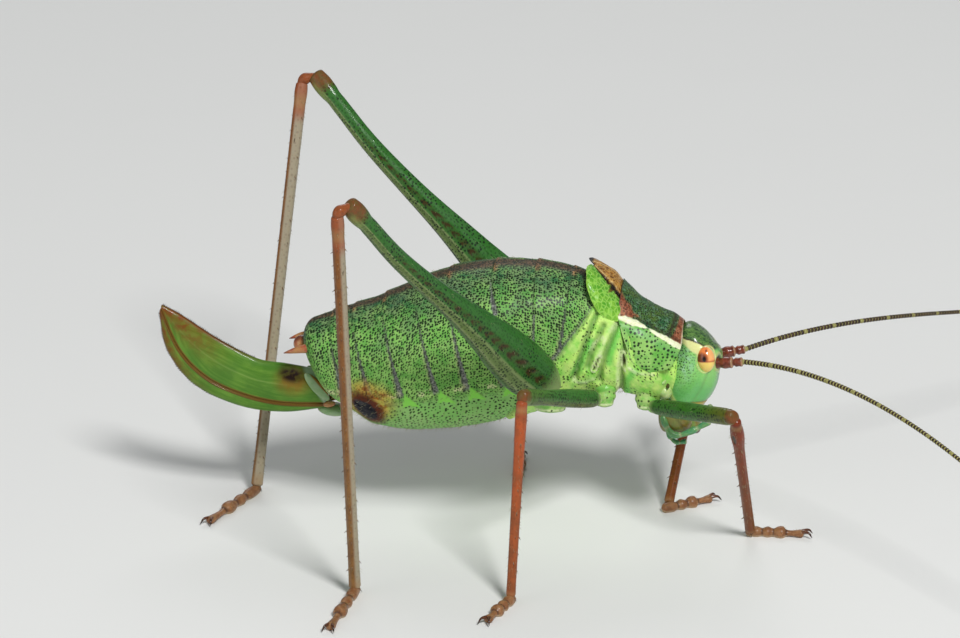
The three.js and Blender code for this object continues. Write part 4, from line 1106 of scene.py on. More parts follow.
def head_relief(points):
    """Rims, grooves and bumps over the smooth head, and the masks of its colours."""
    x, y, z = np.moveaxis(points, -1, 0)
    off = np.abs(y)
    aside = smooth(off, 0.45, 0.8)
    eye = np.hypot((x - EYE_CENTRE[0]) / EYE_HALF[0], (z - EYE_CENTRE[2]) / EYE_HALF[2])
    socket = np.sqrt((x - ANTENNA_ROOT[0] - 0.1) ** 2 + (off - ANTENNA_ROOT[1]) ** 2 + (z - ANTENNA_ROOT[2]) ** 2)
    rim = line_of(eye, 0.97, 0.09) * aside
    ring = line_of(socket, 0.42, 0.12)
    margin = line_mask(x, z, CHEEK_MARGIN, 0.1, 0.06) * smooth(off, 0.3, 0.7)
    groove = line_mask(x, z, CHEEK_GROOVE, 0.03, 0.1) * aside
    ridge = line_mask(x, z, FACE_RIDGE, 0.05, 0.12) * smooth(off, 0.3, 0.5) * (1 - smooth(off, 0.75, 0.95))
    brow = smooth(x, 10.9, 11.2) * line_of(z, 9.0, 0.3) * (1 - smooth(off, 0.2, 0.42))
    ocellus = spot_mask(y, z, (0, 8.42), (0.09, 0.11), 0.3) * smooth(x, 10.5, 10.9)
    bead = spot_mask(off, z, (0.42, 7.98), (0.16, 0.14), 0.4) * smooth(x, 10.5, 10.8)
    lip = smooth(z, 6.62, 6.5) * smooth(x, 9.9, 10.1)
    seam = line_of(z, 6.56, 0.07) * smooth(x, 9.8, 10.0)
    furrow = line_of(y, 0.0, 0.07) * smooth(z, 9.1, 9.4)
    height = 0.04 * rim + 0.06 * ring - 0.04 * groove + 0.03 * ridge + 0.08 * brow + 0.04 * bead + 0.02 * ocellus
    height = height - 0.05 * seam - 0.02 * furrow + 0.04 * margin + 0.012 * wander(x, y, z, 0.8)
    height = height - 0.12 * (1 - smooth(socket, 0.2, 0.36))
    height = height - 0.13 * smooth(x, 10.5, 11.0) * line_of(z, 8.1, 0.9)
    line = np.interp(x, *np.transpose(CROWN_LINE))
    band_foot = np.interp(x, *np.transpose(EYE_BAND))
    masks = {
        "crown": smooth(z, line - 0.05, line + 0.05),
        "dark": (1 - smooth(np.abs(z - line), 0.02, 0.055)) * smooth(off, 0.2, 0.5) * (1 - smooth(x, 10.55, 10.75)),
        "band": smooth(z, band_foot - 0.06, band_foot + 0.05) * (z < line) * aside * (1 - smooth(x, 10.35, 10.7)),
        "margin": margin,
        "rim": rim,
        "socket": ring,
        "hollow": 1 - smooth(socket, 0.28, 0.38),
        "brow": brow,
        "bead": np.maximum(bead, ocellus),
        "low": smooth(z, 8.4, 6.8),
        # Painted highlight: a pale bluish patch on the cheek behind the eye.
        "sheen": spot_mask(x, z, (9.62, 8.5), (0.45, 0.75), 0.5) * aside,
        "rear": smooth(x, 10.6, 9.5),
        "face": smooth(off, 0.75, 0.3) * smooth(x, 10.3, 10.7),
        "lip": lip,
        "seam": np.maximum(seam, groove * 0.5),
    }
    return height, masks


def head_finish(sizes, colours):
    """Green cheeks that turn teal below with a painted bluish highlight behind the eye, a dark mottled crown and pale
    lines behind the eye.
    """
    made, tree = shell("Head")
    place = tree.millimetres()
    spots = tree.skin_place()
    cloud = mottle(tree, place, 0.7)
    cheek = tree.mix(tree.mask("low"), (0.28, 0.62, 0.15), colours.face_green)
    # How strongly the painted highlight shows, mottled.
    painted_sheen = tree.ramp(mottle(tree, place, 0.25), 0.3, 0.9, 0.15, 0.75)
    cheek = tree.lay(
        cheek, (cloud, 0.4, (0.12, 0.44, 0.15)), ("face", 0.7, (0.05, 0.26, 0.09)),
        ("sheen", painted_sheen, (0.34, 0.60, 0.36)),
    )
    crown = tree.mix(mottle(tree, tree.vectors("MULTIPLY", place, (0.4, 1.6, 1.6)), 0.25), (0.035, 0.10, 0.03),
                     (0.13, 0.26, 0.06))
    colour = tree.mix(tree.mask("crown"), cheek, crown)
    dots = specks(tree, spots, sizes.speck_spacing / MM, sizes.speck_size * 0.85)
    where = tree.times(tree.mask("rear"), tree.ramp(tree.mask("low"), 0.0, 0.9, 1.0, 0.15))
    where = tree.maths("MAXIMUM", where, tree.times(tree.mask("crown"), 0.8))
    colour = tree.lay(
        colour, (dots, where, colours.speck), ("band", 0.9, (0.80, 0.78, 0.34)),
        ("margin", 0.75, (0.58, 0.64, 0.20)), ("dark", 1, (0.03, 0.02, 0.012)), ("brow", 0.8, (0.36, 0.34, 0.22)),
        ("lip", 1, tree.mix(cloud, (0.34, 0.40, 0.08), (0.45, 0.30, 0.05))), ("seam", 0.6, (0.12, 0.10, 0.03)),
        ("socket", 0.7, (0.50, 0.50, 0.20)), ("bead", 0.8, (0.70, 0.72, 0.38)), ("rim", 0.85, (0.74, 0.70, 0.28)),
        ("hollow", 1, (0.07, 0.03, 0.012)),
    )
    normal = tree.bump(grain(tree, place, 0.07), 0.000007)
    lacquer(tree, colour, tree.fade(cloud, 0.24, 0.36), normal, coat=0.55, coat_roughness=0.15, soft=0.15)
    return made


def make_head(settings):
    """The head capsule, rolled a little like the insect's own."""
    chin = np.linspace(0, math.pi / 2, 9)[1:]
    crown = np.linspace(math.pi / 2, 0, 16)[:-1]
    share = np.concatenate([0.07 * (1 - np.cos(chin)), np.linspace(0.07, 0.88, 96)[1:-1],
                            1 - 0.12 * (1 - np.cos(crown))])
    size = np.concatenate([np.sin(chin) ** 0.3, np.ones(94), np.sin(crown) ** 0.7])
    angle = circle(180)[None, :]
    height, masks = head_relief(head_point(share[:, None], angle, size[:, None]))
    capsule = Piece("head_capsule")
    points = head_point(share[:, None], angle, size[:, None], height)
    capsule.add(rolled(points), head_finish(settings.sizes, settings.colours), **masks)
    return capsule.finish("head", "head")


def eye_finish(colours):
    """Orange above, yellow below, a dark band and a dark false pupil under clear facets."""
    made, tree = shell("Eye")
    place = tree.millimetres()
    fine = mottle(tree, place, 0.12)
    upper = tree.mix(fine, colours.orange, (0.72, 0.20, 0.06))
    lower = tree.mix(fine, colours.eye_yellow, (0.88, 0.62, 0.16))
    colour = tree.mix(tree.mask("lower"), upper, lower)
    colour = tree.lay(
        colour, ("front", 0.7, (0.95, 0.52, 0.20)), ("band", 0.75, (0.36, 0.08, 0.015)),
        ("crescent", 0.9, (0.13, 0.024, 0.01)), ("pupil", 1, (0.012, 0.006, 0.004)), ("rim", 1, (0.75, 0.70, 0.30)),
    )
    facets = tree.node("ShaderNodeTexVoronoi", {"Vector": place, "Scale": 34.0, "Randomness": 0.25})
    height = tree.maths("SUBTRACT", 1.0, facets.outputs["Distance"])
    lacquer(tree, colour, 0.3, tree.bump(height, 0.0000006), coat=1.0, coat_roughness=0.02, soft=0.08,
            soft_colour=(1.0, 0.4, 0.1))
    return made


def make_eyes(settings):
    """Two bulging eyes."""
    finish = eye_finish(settings.colours)
    for side, label in SIDES:
        points, place = egg(EYE_CENTRE, EYE_HALF, EYE_LEAN, side, 70, 96)
        x, y, z = np.moveaxis(place, -1, 0)
        ball = Piece(f"eye_ball_{label}")
        pupil = np.hypot((x + 0.12) / 0.2, (z - 0.14) / 0.2)
        rear = most(spot_mask(x, z, (-0.36, 0.16), (0.62, 0.42), 0.35), spot_mask(x, z, (0.12, 0.72), (0.1, 0.09), 0.5))
        rear = most(rear, smooth(x, -0.68, -0.84) * smooth(z, -0.1, 0.1)) * smooth(z, -0.14, -0.04)
        ball.add(rolled(points), finish, lower=smooth(z, -0.06, -0.18), band=line_of(z + 0.06 * x, -0.05, 0.09),
                 pupil=smooth(pupil, 1.25, 0.75) * (np.sign(y) == side),
                 front=smooth(x, 0.1, 0.5) * smooth(z, -0.1, 0.1), crescent=rear, rim=smooth(np.abs(y), 0.3, 0.22))
        ball.finish("eye", f"eye_{label}")


# ---------------------------------------------------------------- Mouthparts

def mouth_finish(name, first, second, dark):
    """Horny brown and green, darker where the mask says."""
    made, tree = shell(name)
    place = tree.millimetres()
    cloud = mottle(tree, place, 0.35)
    colour = tree.mix(cloud, first, second)
    colour = tree.lay(colour, ("rim", 0.7, (0.16, 0.30, 0.06)), ("dark", 1, dark))
    normal = tree.bump(grain(tree, place, 0.06), 0.000007)
    lacquer(tree, colour, tree.fade(cloud, 0.25, 0.4), normal, coat=0.5, coat_roughness=0.15, soft=0.2,
            soft_colour=(1.0, 0.6, 0.2))
    return made


def make_jaws():
    """Lip, jaws and lower lip."""
    finish = mouth_finish("Jaws", (0.20, 0.14, 0.03), (0.14, 0.17, 0.035), (0.045, 0.02, 0.008))
    points, place = egg(*LABRUM, 1, 48, 64)
    flap = Piece("lip_flap")
    height = place[..., 2]
    groove = line_of(height, 0.55, 0.1) * smooth(place[..., 0], 0.0, 0.3)
    points[..., 0] -= 0.05 * groove
    flap.add(points, finish, rim=smooth(np.abs(place[..., 1]), 0.72, 0.95),
             dark=0.55 * groove + smooth(height, -0.75, -0.95))
    flap.finish("mouthparts", "labrum")
    for side, label in SIDES:
        points, place = egg(*JAW, side, 48, 64)
        x, y, z = np.moveaxis(place, -1, 0)
        points[..., 1] -= side * 0.1 * smooth(z, -0.2, -1.0)
        groove = line_of(x + 0.3 * z, 0.15, 0.14) * (np.sign(y) == side)
        points[..., 1] -= side * 0.04 * groove
        jaw = Piece(f"jaw_{label}")
        jaw.add(points, finish, rim=smooth(z, 0.1, 0.7) * 0.8, dark=np.maximum(0.4 * groove, smooth(z, -0.6, -0.9)))
        jaw.finish("mouthparts", f"mandible_{label}")
    points, place = egg(*LABIUM, 1, 40, 56)
    lower = Piece("lower_lip")
    lower.add(points, finish, rim=0.7 * smooth(place[..., 2], 0.0, 0.6), dark=0.5 * line_of(place[..., 1], 0, 0.1))
    return lower.finish("mouthparts", "labium")


# Pale lumps and a dark plate beside the neck: centre, half size, how dark
NECK_PLATES = (
    ((8.72, 1.12, 7.15), (0.34, 0.42, 0.38), 0.0),
    ((8.62, 1.3, 7.72), (0.2, 0.34, 0.16), 0.0),
    ((8.88, 1.2, 7.5), (0.07, 0.4, 0.12), 1.0),
)
palp_swell = profile((0, 0.75), (0.05, 1.0), (0.12, 1.08), (0.2, 0.82), (0.3, 1.0), (0.4, 1.1), (0.47, 0.78),
                     (0.6, 0.98), (0.7, 1.1), (0.76, 0.76), (0.88, 1.0), (0.97, 1.15), (1, 0.95))
PALP_JOINTS = (0.2, 0.47, 0.76)
SMALL_PALP = ((8.75, 0.45, 5.2), (8.95, 0.62, 4.7), (9.3, 0.68, 4.45), (9.75, 0.6, 4.5))


def make_neck_plates():
    """Pale lumps under the rear of each cheek, and the little dark plate above them."""
    finish = mouth_finish("Neck plates", (0.56, 0.66, 0.28), (0.40, 0.60, 0.20), (0.06, 0.03, 0.012))
    lumps = Piece("neck_plates")
    for side in (-1, 1):
        for centre, half, dark in NECK_PLATES:
            points, place = egg(centre, half, 20, side, 30, 36)
            lumps.add(points, finish, rim=0.4 * line_of(place[..., 2], 0.0, 0.3), dark=dark)
    return lumps.finish("head")


def make_palps():
    """Jointed palps: a long pair beside the jaws and a short pair below the lower lip."""
    finish = mouth_finish("Palps", (0.06, 0.24, 0.11), (0.13, 0.30, 0.10), (0.26, 0.34, 0.16))
    for side, label in SIDES:
        pair = Piece(f"palps_{label}")
        for path, radius in ((PALP_PATH, 0.15), (SMALL_PALP, 0.11)):
            line = smooth_curve(path, 90) * [1, side, 1]
            share = np.linspace(0, 1, 90)
            end = np.sqrt(np.clip(1 - ((share - 0.965) / 0.0351) ** 2, 0.02, 1)) ** (share > 0.965)
            joint = np.max([line_of(share, at, 0.035) for at in PALP_JOINTS], 0)
            knob = smooth(share, 0.93, 0.97)
            pair.add(sweep(line, radius * palp_swell(share) * end, 28), finish, dark=most(joint, knob)[:, None])
        pair.finish("mouthparts", f"palp_{label}")


# ---------------------------------------------------------------- Growing meshes with geometry nodes

def store(tree, geometry, name, value, kind, domain):
    """Keeps a value under a name on a geometry."""
    node = tree.node("GeometryNodeStoreNamedAttribute", data_type=kind, domain=domain)
    tree.put(node.inputs["Geometry"], geometry)
    node.inputs["Name"].default_value = name
    tree.put(next(socket for socket in node.inputs if socket.name == "Value" and socket.enabled), value)
    return node.outputs[0]


def read(tree, name, kind):
    """A value kept under a name."""
    node = tree.node("GeometryNodeInputNamedAttribute", data_type=kind)
    node.inputs["Name"].default_value = name
    return next(socket for socket in node.outputs if socket.name == "Attribute" and socket.enabled)


PATCH = 0.003  # width of the patch of the map that each hair, spine, tooth or ring takes


def finished(tree, geometry, root, finish):
    """Puts every repeated solid on a small patch of the map at its root, smooth and with its finish."""
    patch = {0: read(tree, "patch", "FLOAT_VECTOR"), "Scale": PATCH / 2}
    aside = tree.node("ShaderNodeVectorMath", patch, operation="SCALE").outputs[0]
    mapped = store(tree, geometry, "OFBake", tree.vectors("ADD", root, aside), "FLOAT2", "CORNER")
    soft = tree.node("GeometryNodeSetShadeSmooth", {"Geometry": mapped}).outputs[0]
    return tree.node("GeometryNodeSetMaterial", {"Geometry": soft, "Material": finish}).outputs[0]


def patch_height(tree):
    """How far up its own solid a point of a hair, spine, tooth or ring is."""
    return tree.split(tree.node("ShaderNodeAttribute", attribute_name="patch").outputs["Vector"])[2]


def grown(source, tree_maker, settings, slot, *nodes):
    """The plain mesh that geometry nodes grow from an object, in place of that object."""
    link(source)
    made = group_once(tree_maker.__name__, tree_maker)
    modifier = source.modifiers.new("Grown", "NODES")
    modifier.node_group = made
    for item in made.interface.items_tree:
        if item.item_type == "SOCKET" and item.in_out == "INPUT" and item.name in settings:
            modifier[item.identifier] = settings[item.name]
    bpy.context.view_layer.update()
    mesh = bpy.data.meshes.new_from_object(source.evaluated_get(bpy.context.evaluated_depsgraph_get()))
    name = source.name
    bpy.data.objects.remove(source)
    mesh.name = name
    return ready(bpy.data.objects.new(name, mesh), slot, *nodes)


def dots_object(name, points, edges=(), **values):
    """An object of loose points in the frame, with values kept at each point."""
    mesh = bpy.data.meshes.new(name)
    mesh.from_pydata(to_frame(points), list(edges), [])
    for label, value in values.items():
        keep(mesh, label, value)
    return bpy.data.objects.new(name, mesh)


# ---------------------------------------------------------------- Feelers

feeler_swell = profile(
    (0, 0.8), (0.1, 1.0), (0.22, 0.9), (0.38, 1.12), (0.52, 1.02), (0.6, 1.06),
    (0.665, 0.62), (0.74, 0.86), (0.84, 0.8), (0.93, 0.86), (1, 0.6),
)
FEELER_ROOT_RADIUS = 0.25
WHIP_RADII = (0.125, 0.045)  # at its root and at its tip
WHIP_STRIDE = 0.5
RINGS_TO_A_BAND = 9.0


def whip_path(side):
    """Where a feeler's whip runs, in short strides from its root."""
    stride = WHIP_STRIDE
    spot = np.array(WHIP_ROOT)
    spots = []
    for run in np.arange(0, WHIP_LENGTH + stride / 2, stride):
        spots.append(spot * [1, side, 1])
        middle = run + stride / 2
        heading = math.radians(WHIP_HEADING + WHIP_SWING * middle - WHIP_SWING_BACK * max(middle - WHIP_BEND, 0))
        pitch = math.radians(WHIP_PITCH - WHIP_DROOP * middle + WHIP_RECOVER * middle**2)
        step = [math.cos(heading) * math.cos(pitch), math.sin(heading) * math.cos(pitch), math.sin(pitch)]
        spot = spot + stride * np.array(step)
    return np.array(spots)


def feeler_root_finish():
    """Red brown, with pale ends to both joints."""
    made, tree = shell("Feeler root")
    place = tree.millimetres()
    cloud = mottle(tree, place, 0.2)
    colour = tree.mix(cloud, (0.22, 0.045, 0.02), (0.10, 0.022, 0.012))
    colour = tree.lay(colour, ("pale", 0.6, (0.55, 0.38, 0.20)))
    normal = tree.bump(grain(tree, place, 0.06), 0.000008)
    lacquer(tree, colour, 0.26, normal, coat=0.8, coat_roughness=0.08, soft=0.1, soft_colour=(1.0, 0.4, 0.2))
    return made


def feeler_finish(colours):
    """Black brown, with a pale ring every so often."""
    made, tree = shell("Feeler")
    place = tree.millimetres()
    step = tree.maths("MODULO", tree.mask("ring"), RINGS_TO_A_BAND)
    wide = tree.fade(tree.maths("LESS_THAN", step, 0.5), 0.24, -0.5)
    pale = tree.ramp(tree.maths("SUBTRACT", patch_height(tree), wide), -0.04, 0.04)
    colour = tree.mix(mottle(tree, place, 0.3), colours.feeler, (0.055, 0.028, 0.014))
    colour = tree.lay(colour, (pale, 0.7, (0.40, 0.38, 0.12)))
    lacquer(tree, colour, 0.38, tree.bump(grain(tree, place, 0.05), 0.000005), coat=0.3)
    return made


def feeler_tree(name):
    """Geometry nodes: one short barrel after another along a line."""
    inputs = {"Geometry": ("Geometry", None), "Ring length": ("Float", 0.0002), "Root radius": ("Float", 0.0001),
              "Tip radius": ("Float", 0.00005), "Finish": ("Material", None)}
    made, tree, given, result = new_group(name, inputs, {"Geometry": "Geometry"}, "GeometryNodeTree")
    line = tree.node("GeometryNodeMeshToCurve", {"Mesh": given["Geometry"]}).outputs["Curve"]
    even = tree.node("GeometryNodeResampleCurve", {"Curve": line, "Length": given["Ring length"]}, mode="LENGTH")
    share = tree.node("GeometryNodeSplineParameter").outputs["Factor"]
    thin = {"Value": share, 3: given["Root radius"], 4: given["Tip radius"]}
    radius = tree.node("ShaderNodeMapRange", thin).outputs[0]
    turn = tree.node("FunctionNodeAlignRotationToVector",
                     {"Vector": tree.node("GeometryNodeInputTangent").outputs[0]}, axis="Z").outputs[0]
    size = tree.join(radius, radius, given["Ring length"])
    barrel = tree.node("GeometryNodeMeshCylinder", {"Vertices": 12, "Side Segments": 4, "Radius": 1.0, "Depth": 1.06})
    place = tree.node("GeometryNodeInputPosition").outputs[0]
    height = tree.split(place)[2]
    waist = tree.maths("MULTIPLY_ADD", tree.times(height, height), -0.75, 1.05)
    shape = tree.join(waist, waist, 1.0)
    bulged = tree.node("GeometryNodeSetPosition",
                       {"Geometry": barrel.outputs[0], "Position": tree.vectors("MULTIPLY", place, shape)}).outputs[0]
    patched = store(tree, bulged, "patch", place, "FLOAT_VECTOR", "POINT")
    kept = store(tree, even.outputs[0], "share", share, "FLOAT", "POINT")
    kept = store(tree, kept, "ring", tree.node("GeometryNodeInputIndex").outputs[0], "FLOAT", "POINT")
    kept = store(tree, kept, "girth", radius, "FLOAT", "POINT")
    rings = tree.node("GeometryNodeInstanceOnPoints", {"Points": kept, "Instance": patched, "Rotation": turn,
                                                       "Scale": size}).outputs[0]
    whole = tree.node("GeometryNodeRealizeInstances", {"Geometry": rings}).outputs[0]
    along = tree.maths("MULTIPLY_ADD", read(tree, "share", "FLOAT"), 0.96, 0.02)
    root = tree.join(along, 0.5)
    tree.put(result["Geometry"], finished(tree, whole, root, given["Finish"]))
    return made


def make_feelers(settings):
    """Two-jointed roots and ringed whips that sweep outwards and back."""
    root_finish = feeler_root_finish()
    whip_finish = feeler_finish(settings.colours)
    for side, label in SIDES:
        ends = np.array([ANTENNA_ROOT, WHIP_ROOT]) * [1, side, 1]
        share = np.linspace(0, 1, 72)
        path = ends[0] + (ends[1] - ends[0]) * share[:, None]
        rounded = np.sqrt(np.clip(1 - (np.clip(share - 0.94, 0, 1) / 0.0601) ** 2, 0.01, 1))
        pale = np.maximum(line_of(share, 0.62, 0.045), line_of(share, 0.965, 0.05))
        root = Piece(f"feeler_root_{label}")
        radius = FEELER_ROOT_RADIUS * feeler_swell(share) * rounded
        root.add(sweep(path, radius, 36), root_finish, pale=pale[:, None])
        root.finish("antenna", f"antenna_base_{label}")
        spots = whip_path(side)
        line = dots_object(f"feeler_{label}", spots, [(i, i + 1) for i in range(len(spots) - 1)])
        sizes = {"Ring length": settings.sizes.ring_length, "Root radius": WHIP_RADII[0] * MM,
                 "Tip radius": WHIP_RADII[1] * MM, "Finish": whip_finish}
        grown(line, feeler_tree, sizes, "antenna", f"antenna_near_{label}", f"antenna_far_{label}")


# ---------------------------------------------------------------- Spines, teeth and hairs

def bristle(tree, points, root, finish):
    """A slender bent cone on every point, along its aim, as thick and as long as the point says."""
    cone = tree.node("GeometryNodeMeshCone", {"Vertices": 5, "Side Segments": 3, "Radius Top": 0.0,
                                              "Radius Bottom": 1.0, "Depth": 1.0}).outputs[0]
    place = tree.node("GeometryNodeInputPosition").outputs[0]
    height = tree.split(place)[2]
    bend = tree.times(tree.times(height, height), 0.9)
    offset = tree.join(bend)
    bent = tree.node("GeometryNodeSetPosition", {"Geometry": cone, "Offset": offset}).outputs[0]
    patched = store(tree, bent, "patch", place, "FLOAT_VECTOR", "POINT")
    turn = tree.node("FunctionNodeAlignRotationToVector", {"Vector": read(tree, "aim", "FLOAT_VECTOR")}, axis="Z")
    thick = read(tree, "thick", "FLOAT")
    size = tree.join(thick, thick, read(tree, "tall", "FLOAT"))
    kept = store(tree, points, "root", root, "FLOAT_VECTOR", "POINT")
    many = tree.node("GeometryNodeInstanceOnPoints", {"Points": kept, "Instance": patched,
                                                      "Rotation": turn.outputs[0], "Scale": size}).outputs[0]
    whole = tree.node("GeometryNodeRealizeInstances", {"Geometry": many}).outputs[0]
    return finished(tree, whole, read(tree, "root", "FLOAT_VECTOR"), finish)


def spine_tree(name):
    """Geometry nodes: a spine or tooth on every point of a mesh of loose points."""
    inputs = {"Geometry": ("Geometry", None), "Finish": ("Material", None)}
    made, tree, given, result = new_group(name, inputs, {"Geometry": "Geometry"}, "GeometryNodeTree")
    points = tree.node("GeometryNodeMeshToPoints", {"Mesh": given["Geometry"]}).outputs[0]
    tree.put(result["Geometry"], bristle(tree, points, read(tree, "home", "FLOAT_VECTOR"), given["Finish"]))
    return made


def coat_tree(name):
    """Geometry nodes: fine hairs scattered over a skin, all leaning the way the coat lies."""
    inputs = {"Geometry": ("Geometry", None), "Density": ("Float", 1.0), "Length": ("Float", 0.0002),
              "Thickness": ("Float", 0.000008), "Lie": ("Vector", None), "Seed": ("Int", 0),
              "Finish": ("Material", None)}
    made, tree, given, result = new_group(name, inputs, {"Geometry": "Geometry"}, "GeometryNodeTree")
    density = tree.times(read(tree, "hairy", "FLOAT"), given["Density"])
    scatter = tree.node("GeometryNodeDistributePointsOnFaces", {"Mesh": given["Geometry"], "Density": density,
                                                                "Seed": given["Seed"]})
    jitter = tree.node("FunctionNodeRandomValue", data_type="FLOAT_VECTOR")
    jitter.inputs[0].default_value = (-0.35, -0.35, -0.35)
    jitter.inputs[1].default_value = (0.35, 0.35, 0.35)
    aim = tree.vectors("ADD", scatter.outputs["Normal"], tree.vectors("ADD", given["Lie"], jitter.outputs[0]))
    uneven = tree.node("FunctionNodeRandomValue", data_type="FLOAT")
    uneven.inputs[2].default_value = 0.6
    uneven.inputs[3].default_value = 1.25
    points = store(tree, scatter.outputs["Points"], "aim", aim, "FLOAT_VECTOR", "POINT")
    tall = tree.times(uneven.outputs[1], given["Length"])
    points = store(tree, points, "tall", tall, "FLOAT", "POINT")
    points = store(tree, points, "thick", given["Thickness"], "FLOAT", "POINT")
    tree.put(result["Geometry"], bristle(tree, points, read(tree, "home", "FLOAT_VECTOR"), given["Finish"]))
    return made


def bristle_finish(name, root_colour, tip_colour, gloss):
    """Horn that changes colour from root to tip."""
    made, tree = shell(name)
    height = patch_height(tree)
    tint = mottle(tree, tree.millimetres(), 0.5)
    colour = tree.mix(tree.ramp(height, 0.1, 0.9), tree.mix(tree.times(tint, 0.4), root_colour, tip_colour),
                      tip_colour)
    lacquer(tree, colour, gloss, coat=0.2)
    return made


def make_spines(name, spines, finish, slot):
    """One object of spines: a list of (root, aim, length, radius) in drawn millimetres."""
    roots = np.array([spine[0] for spine in spines])
    aims = unit(np.array([spine[1] for spine in spines], float))
    above_floor = (roots[:, 2] - 0.02) / np.maximum(-aims[:, 2], 1e-3)
    tall = np.minimum([spine[2] for spine in spines], np.where(aims[:, 2] < 0, above_floor, np.inf))
    count = len(roots)
    home = np.stack([(np.arange(count) % 40 + 0.5) / 40, (np.arange(count) // 40 + 0.5) / 40, np.zeros(count)], 1)
    dots = dots_object(name, roots, aim=aims, home=home, tall=tall * MM,
                       thick=np.array([spine[3] for spine in spines]) * MM)
    return grown(dots, spine_tree, {"Finish": finish}, slot)


def make_coat(name, surfaces, lie, density, length, thickness, finish, slot, seed):
    """Fine hairs over rings of points; each surface is (points, how hairy)."""
    skin = bpy.data.meshes.new(name)
    places, faces, hairy, home, first = [], [], [], [], 0
    for number, (points, amount) in enumerate(surfaces):
        rings, sides = points.shape[:2]
        index = first + np.arange(rings * sides).reshape(rings, sides)
        quads = np.stack([index[:-1], np.roll(index, -1, 1)[:-1], np.roll(index, -1, 1)[1:], index[1:]], -1)
        a, b, c = points[:-1], np.roll(points, -1, 1)[:-1], points[1:]
        out = points[:-1] - points.mean(1, keepdims=True)[:-1]
        turned = np.einsum("ijk,ijk->", out, np.cross(b - a, c - a)) > 0
        quads = quads if turned else quads[..., ::-1]
        places.append(points.reshape(-1, 3))
        faces += quads.reshape(-1, 4).tolist()
        hairy.append(np.broadcast_to(amount, (rings, sides)).ravel())
        across, along = np.meshgrid(np.arange(sides) / sides, np.arange(rings) / rings)
        home.append(np.stack([(number + across) / len(surfaces), along, 0 * along], -1).reshape(-1, 3))
        first += rings * sides
    skin.from_pydata(to_frame(np.concatenate(places)), [], faces)
    keep(skin, "hairy", np.concatenate(hairy))
    keep(skin, "home", np.concatenate(home))
    inputs = {"Density": density / MM**2, "Length": length, "Thickness": thickness * MM, "Lie": lie, "Seed": seed,
              "Finish": finish}
    return grown(bpy.data.objects.new(name, skin), coat_tree, inputs, slot)


# ---------------------------------------------------------------- Tail: ovipositor, cerci and plates

def blade_finish(colours):
    """Glossy leaf green with faint streaks, rust at its tip and dark spots at its root."""
    made, tree = shell("Blade")
    place = tree.millimetres()
    streaks = mottle(tree, tree.vectors("MULTIPLY", tree.skin_place(), (0.25, 2.6, 1.0)), 0.5)
    colour = tree.mix(streaks, colours.blade, (0.13, 0.27, 0.035))
    rusty = tree.ramp(mottle(tree, place, 0.3), 0.0, 0.8, 0.6, 1.0)
    patchy = tree.ramp(mottle(tree, place, 0.3), 0.1, 0.7, 0.75, 1.0)
    colour = tree.lay(
        colour, (mottle(tree, place, 1.1), 0.5, (0.05, 0.15, 0.02)), ("vein", 0.35, (0.30, 0.42, 0.12)),
        ("edge", 0.95, (0.10, 0.035, 0.008)), ("seam", 0.85, (0.15, 0.05, 0.01)), ("tip", rusty, (0.17, 0.05, 0.008)),
        ("halo", tree.times(patchy, 0.75), (0.24, 0.10, 0.012)), ("spot", patchy, (0.014, 0.006, 0.004)),
        ("pale", 0.85, (0.34, 0.46, 0.32)),
    )
    height = tree.maths("MULTIPLY_ADD", streaks, 0.5, grain(tree, place, 0.08))
    lacquer(tree, colour, tree.fade(streaks, 0.36, 0.46), tree.bump(height, 0.000008), coat=0.15,
            coat_roughness=0.1, soft=0.08, shine=0.12)
    return made


def valve_points(edge, ridge):
    """Rings across one valve of the ovipositor, sharp at its edge and full at the ridge between the valves."""
    run, size = round_ends(170, 1.0, 0.012)
    share = np.linspace(0, 1, 200)
    outer = np.stack([np.interp(run, share, column) for column in smooth_curve(edge, 200).T], 1)
    inner = np.stack([np.interp(run, share, column) for column in smooth_curve(ridge, 200).T], 1)
    across = unit(outer - inner)
    inner = inner - across * 0.09
    half = np.linalg.norm(outer - inner, axis=1)[:, None] / 2
    turn = circle(96)[None, :]
    rise = np.sin(turn)
    full = np.sqrt(np.clip(1 - np.abs(rise) ** np.where(rise > 0, 1.8, 7.0), 0, 1)) * np.sign(np.cos(turn))
    bead = line_of((rise + 1) * half, 0.15, 0.07) * smooth(run, 0.03, 0.12)[:, None]
    out = (full * blade_half_thickness(run)[:, None] + 0.05 * bead * np.sign(np.cos(turn))) * size[:, None]
    middle = (outer + inner) / 2
    x = middle[:, :1] + across[:, :1] * rise * half * size[:, None]
    z = middle[:, 1:] + across[:, 1:] * rise * half * size[:, None]
    return np.stack([x, out, z], -1), run[:, None], rise, (rise + 1) * half


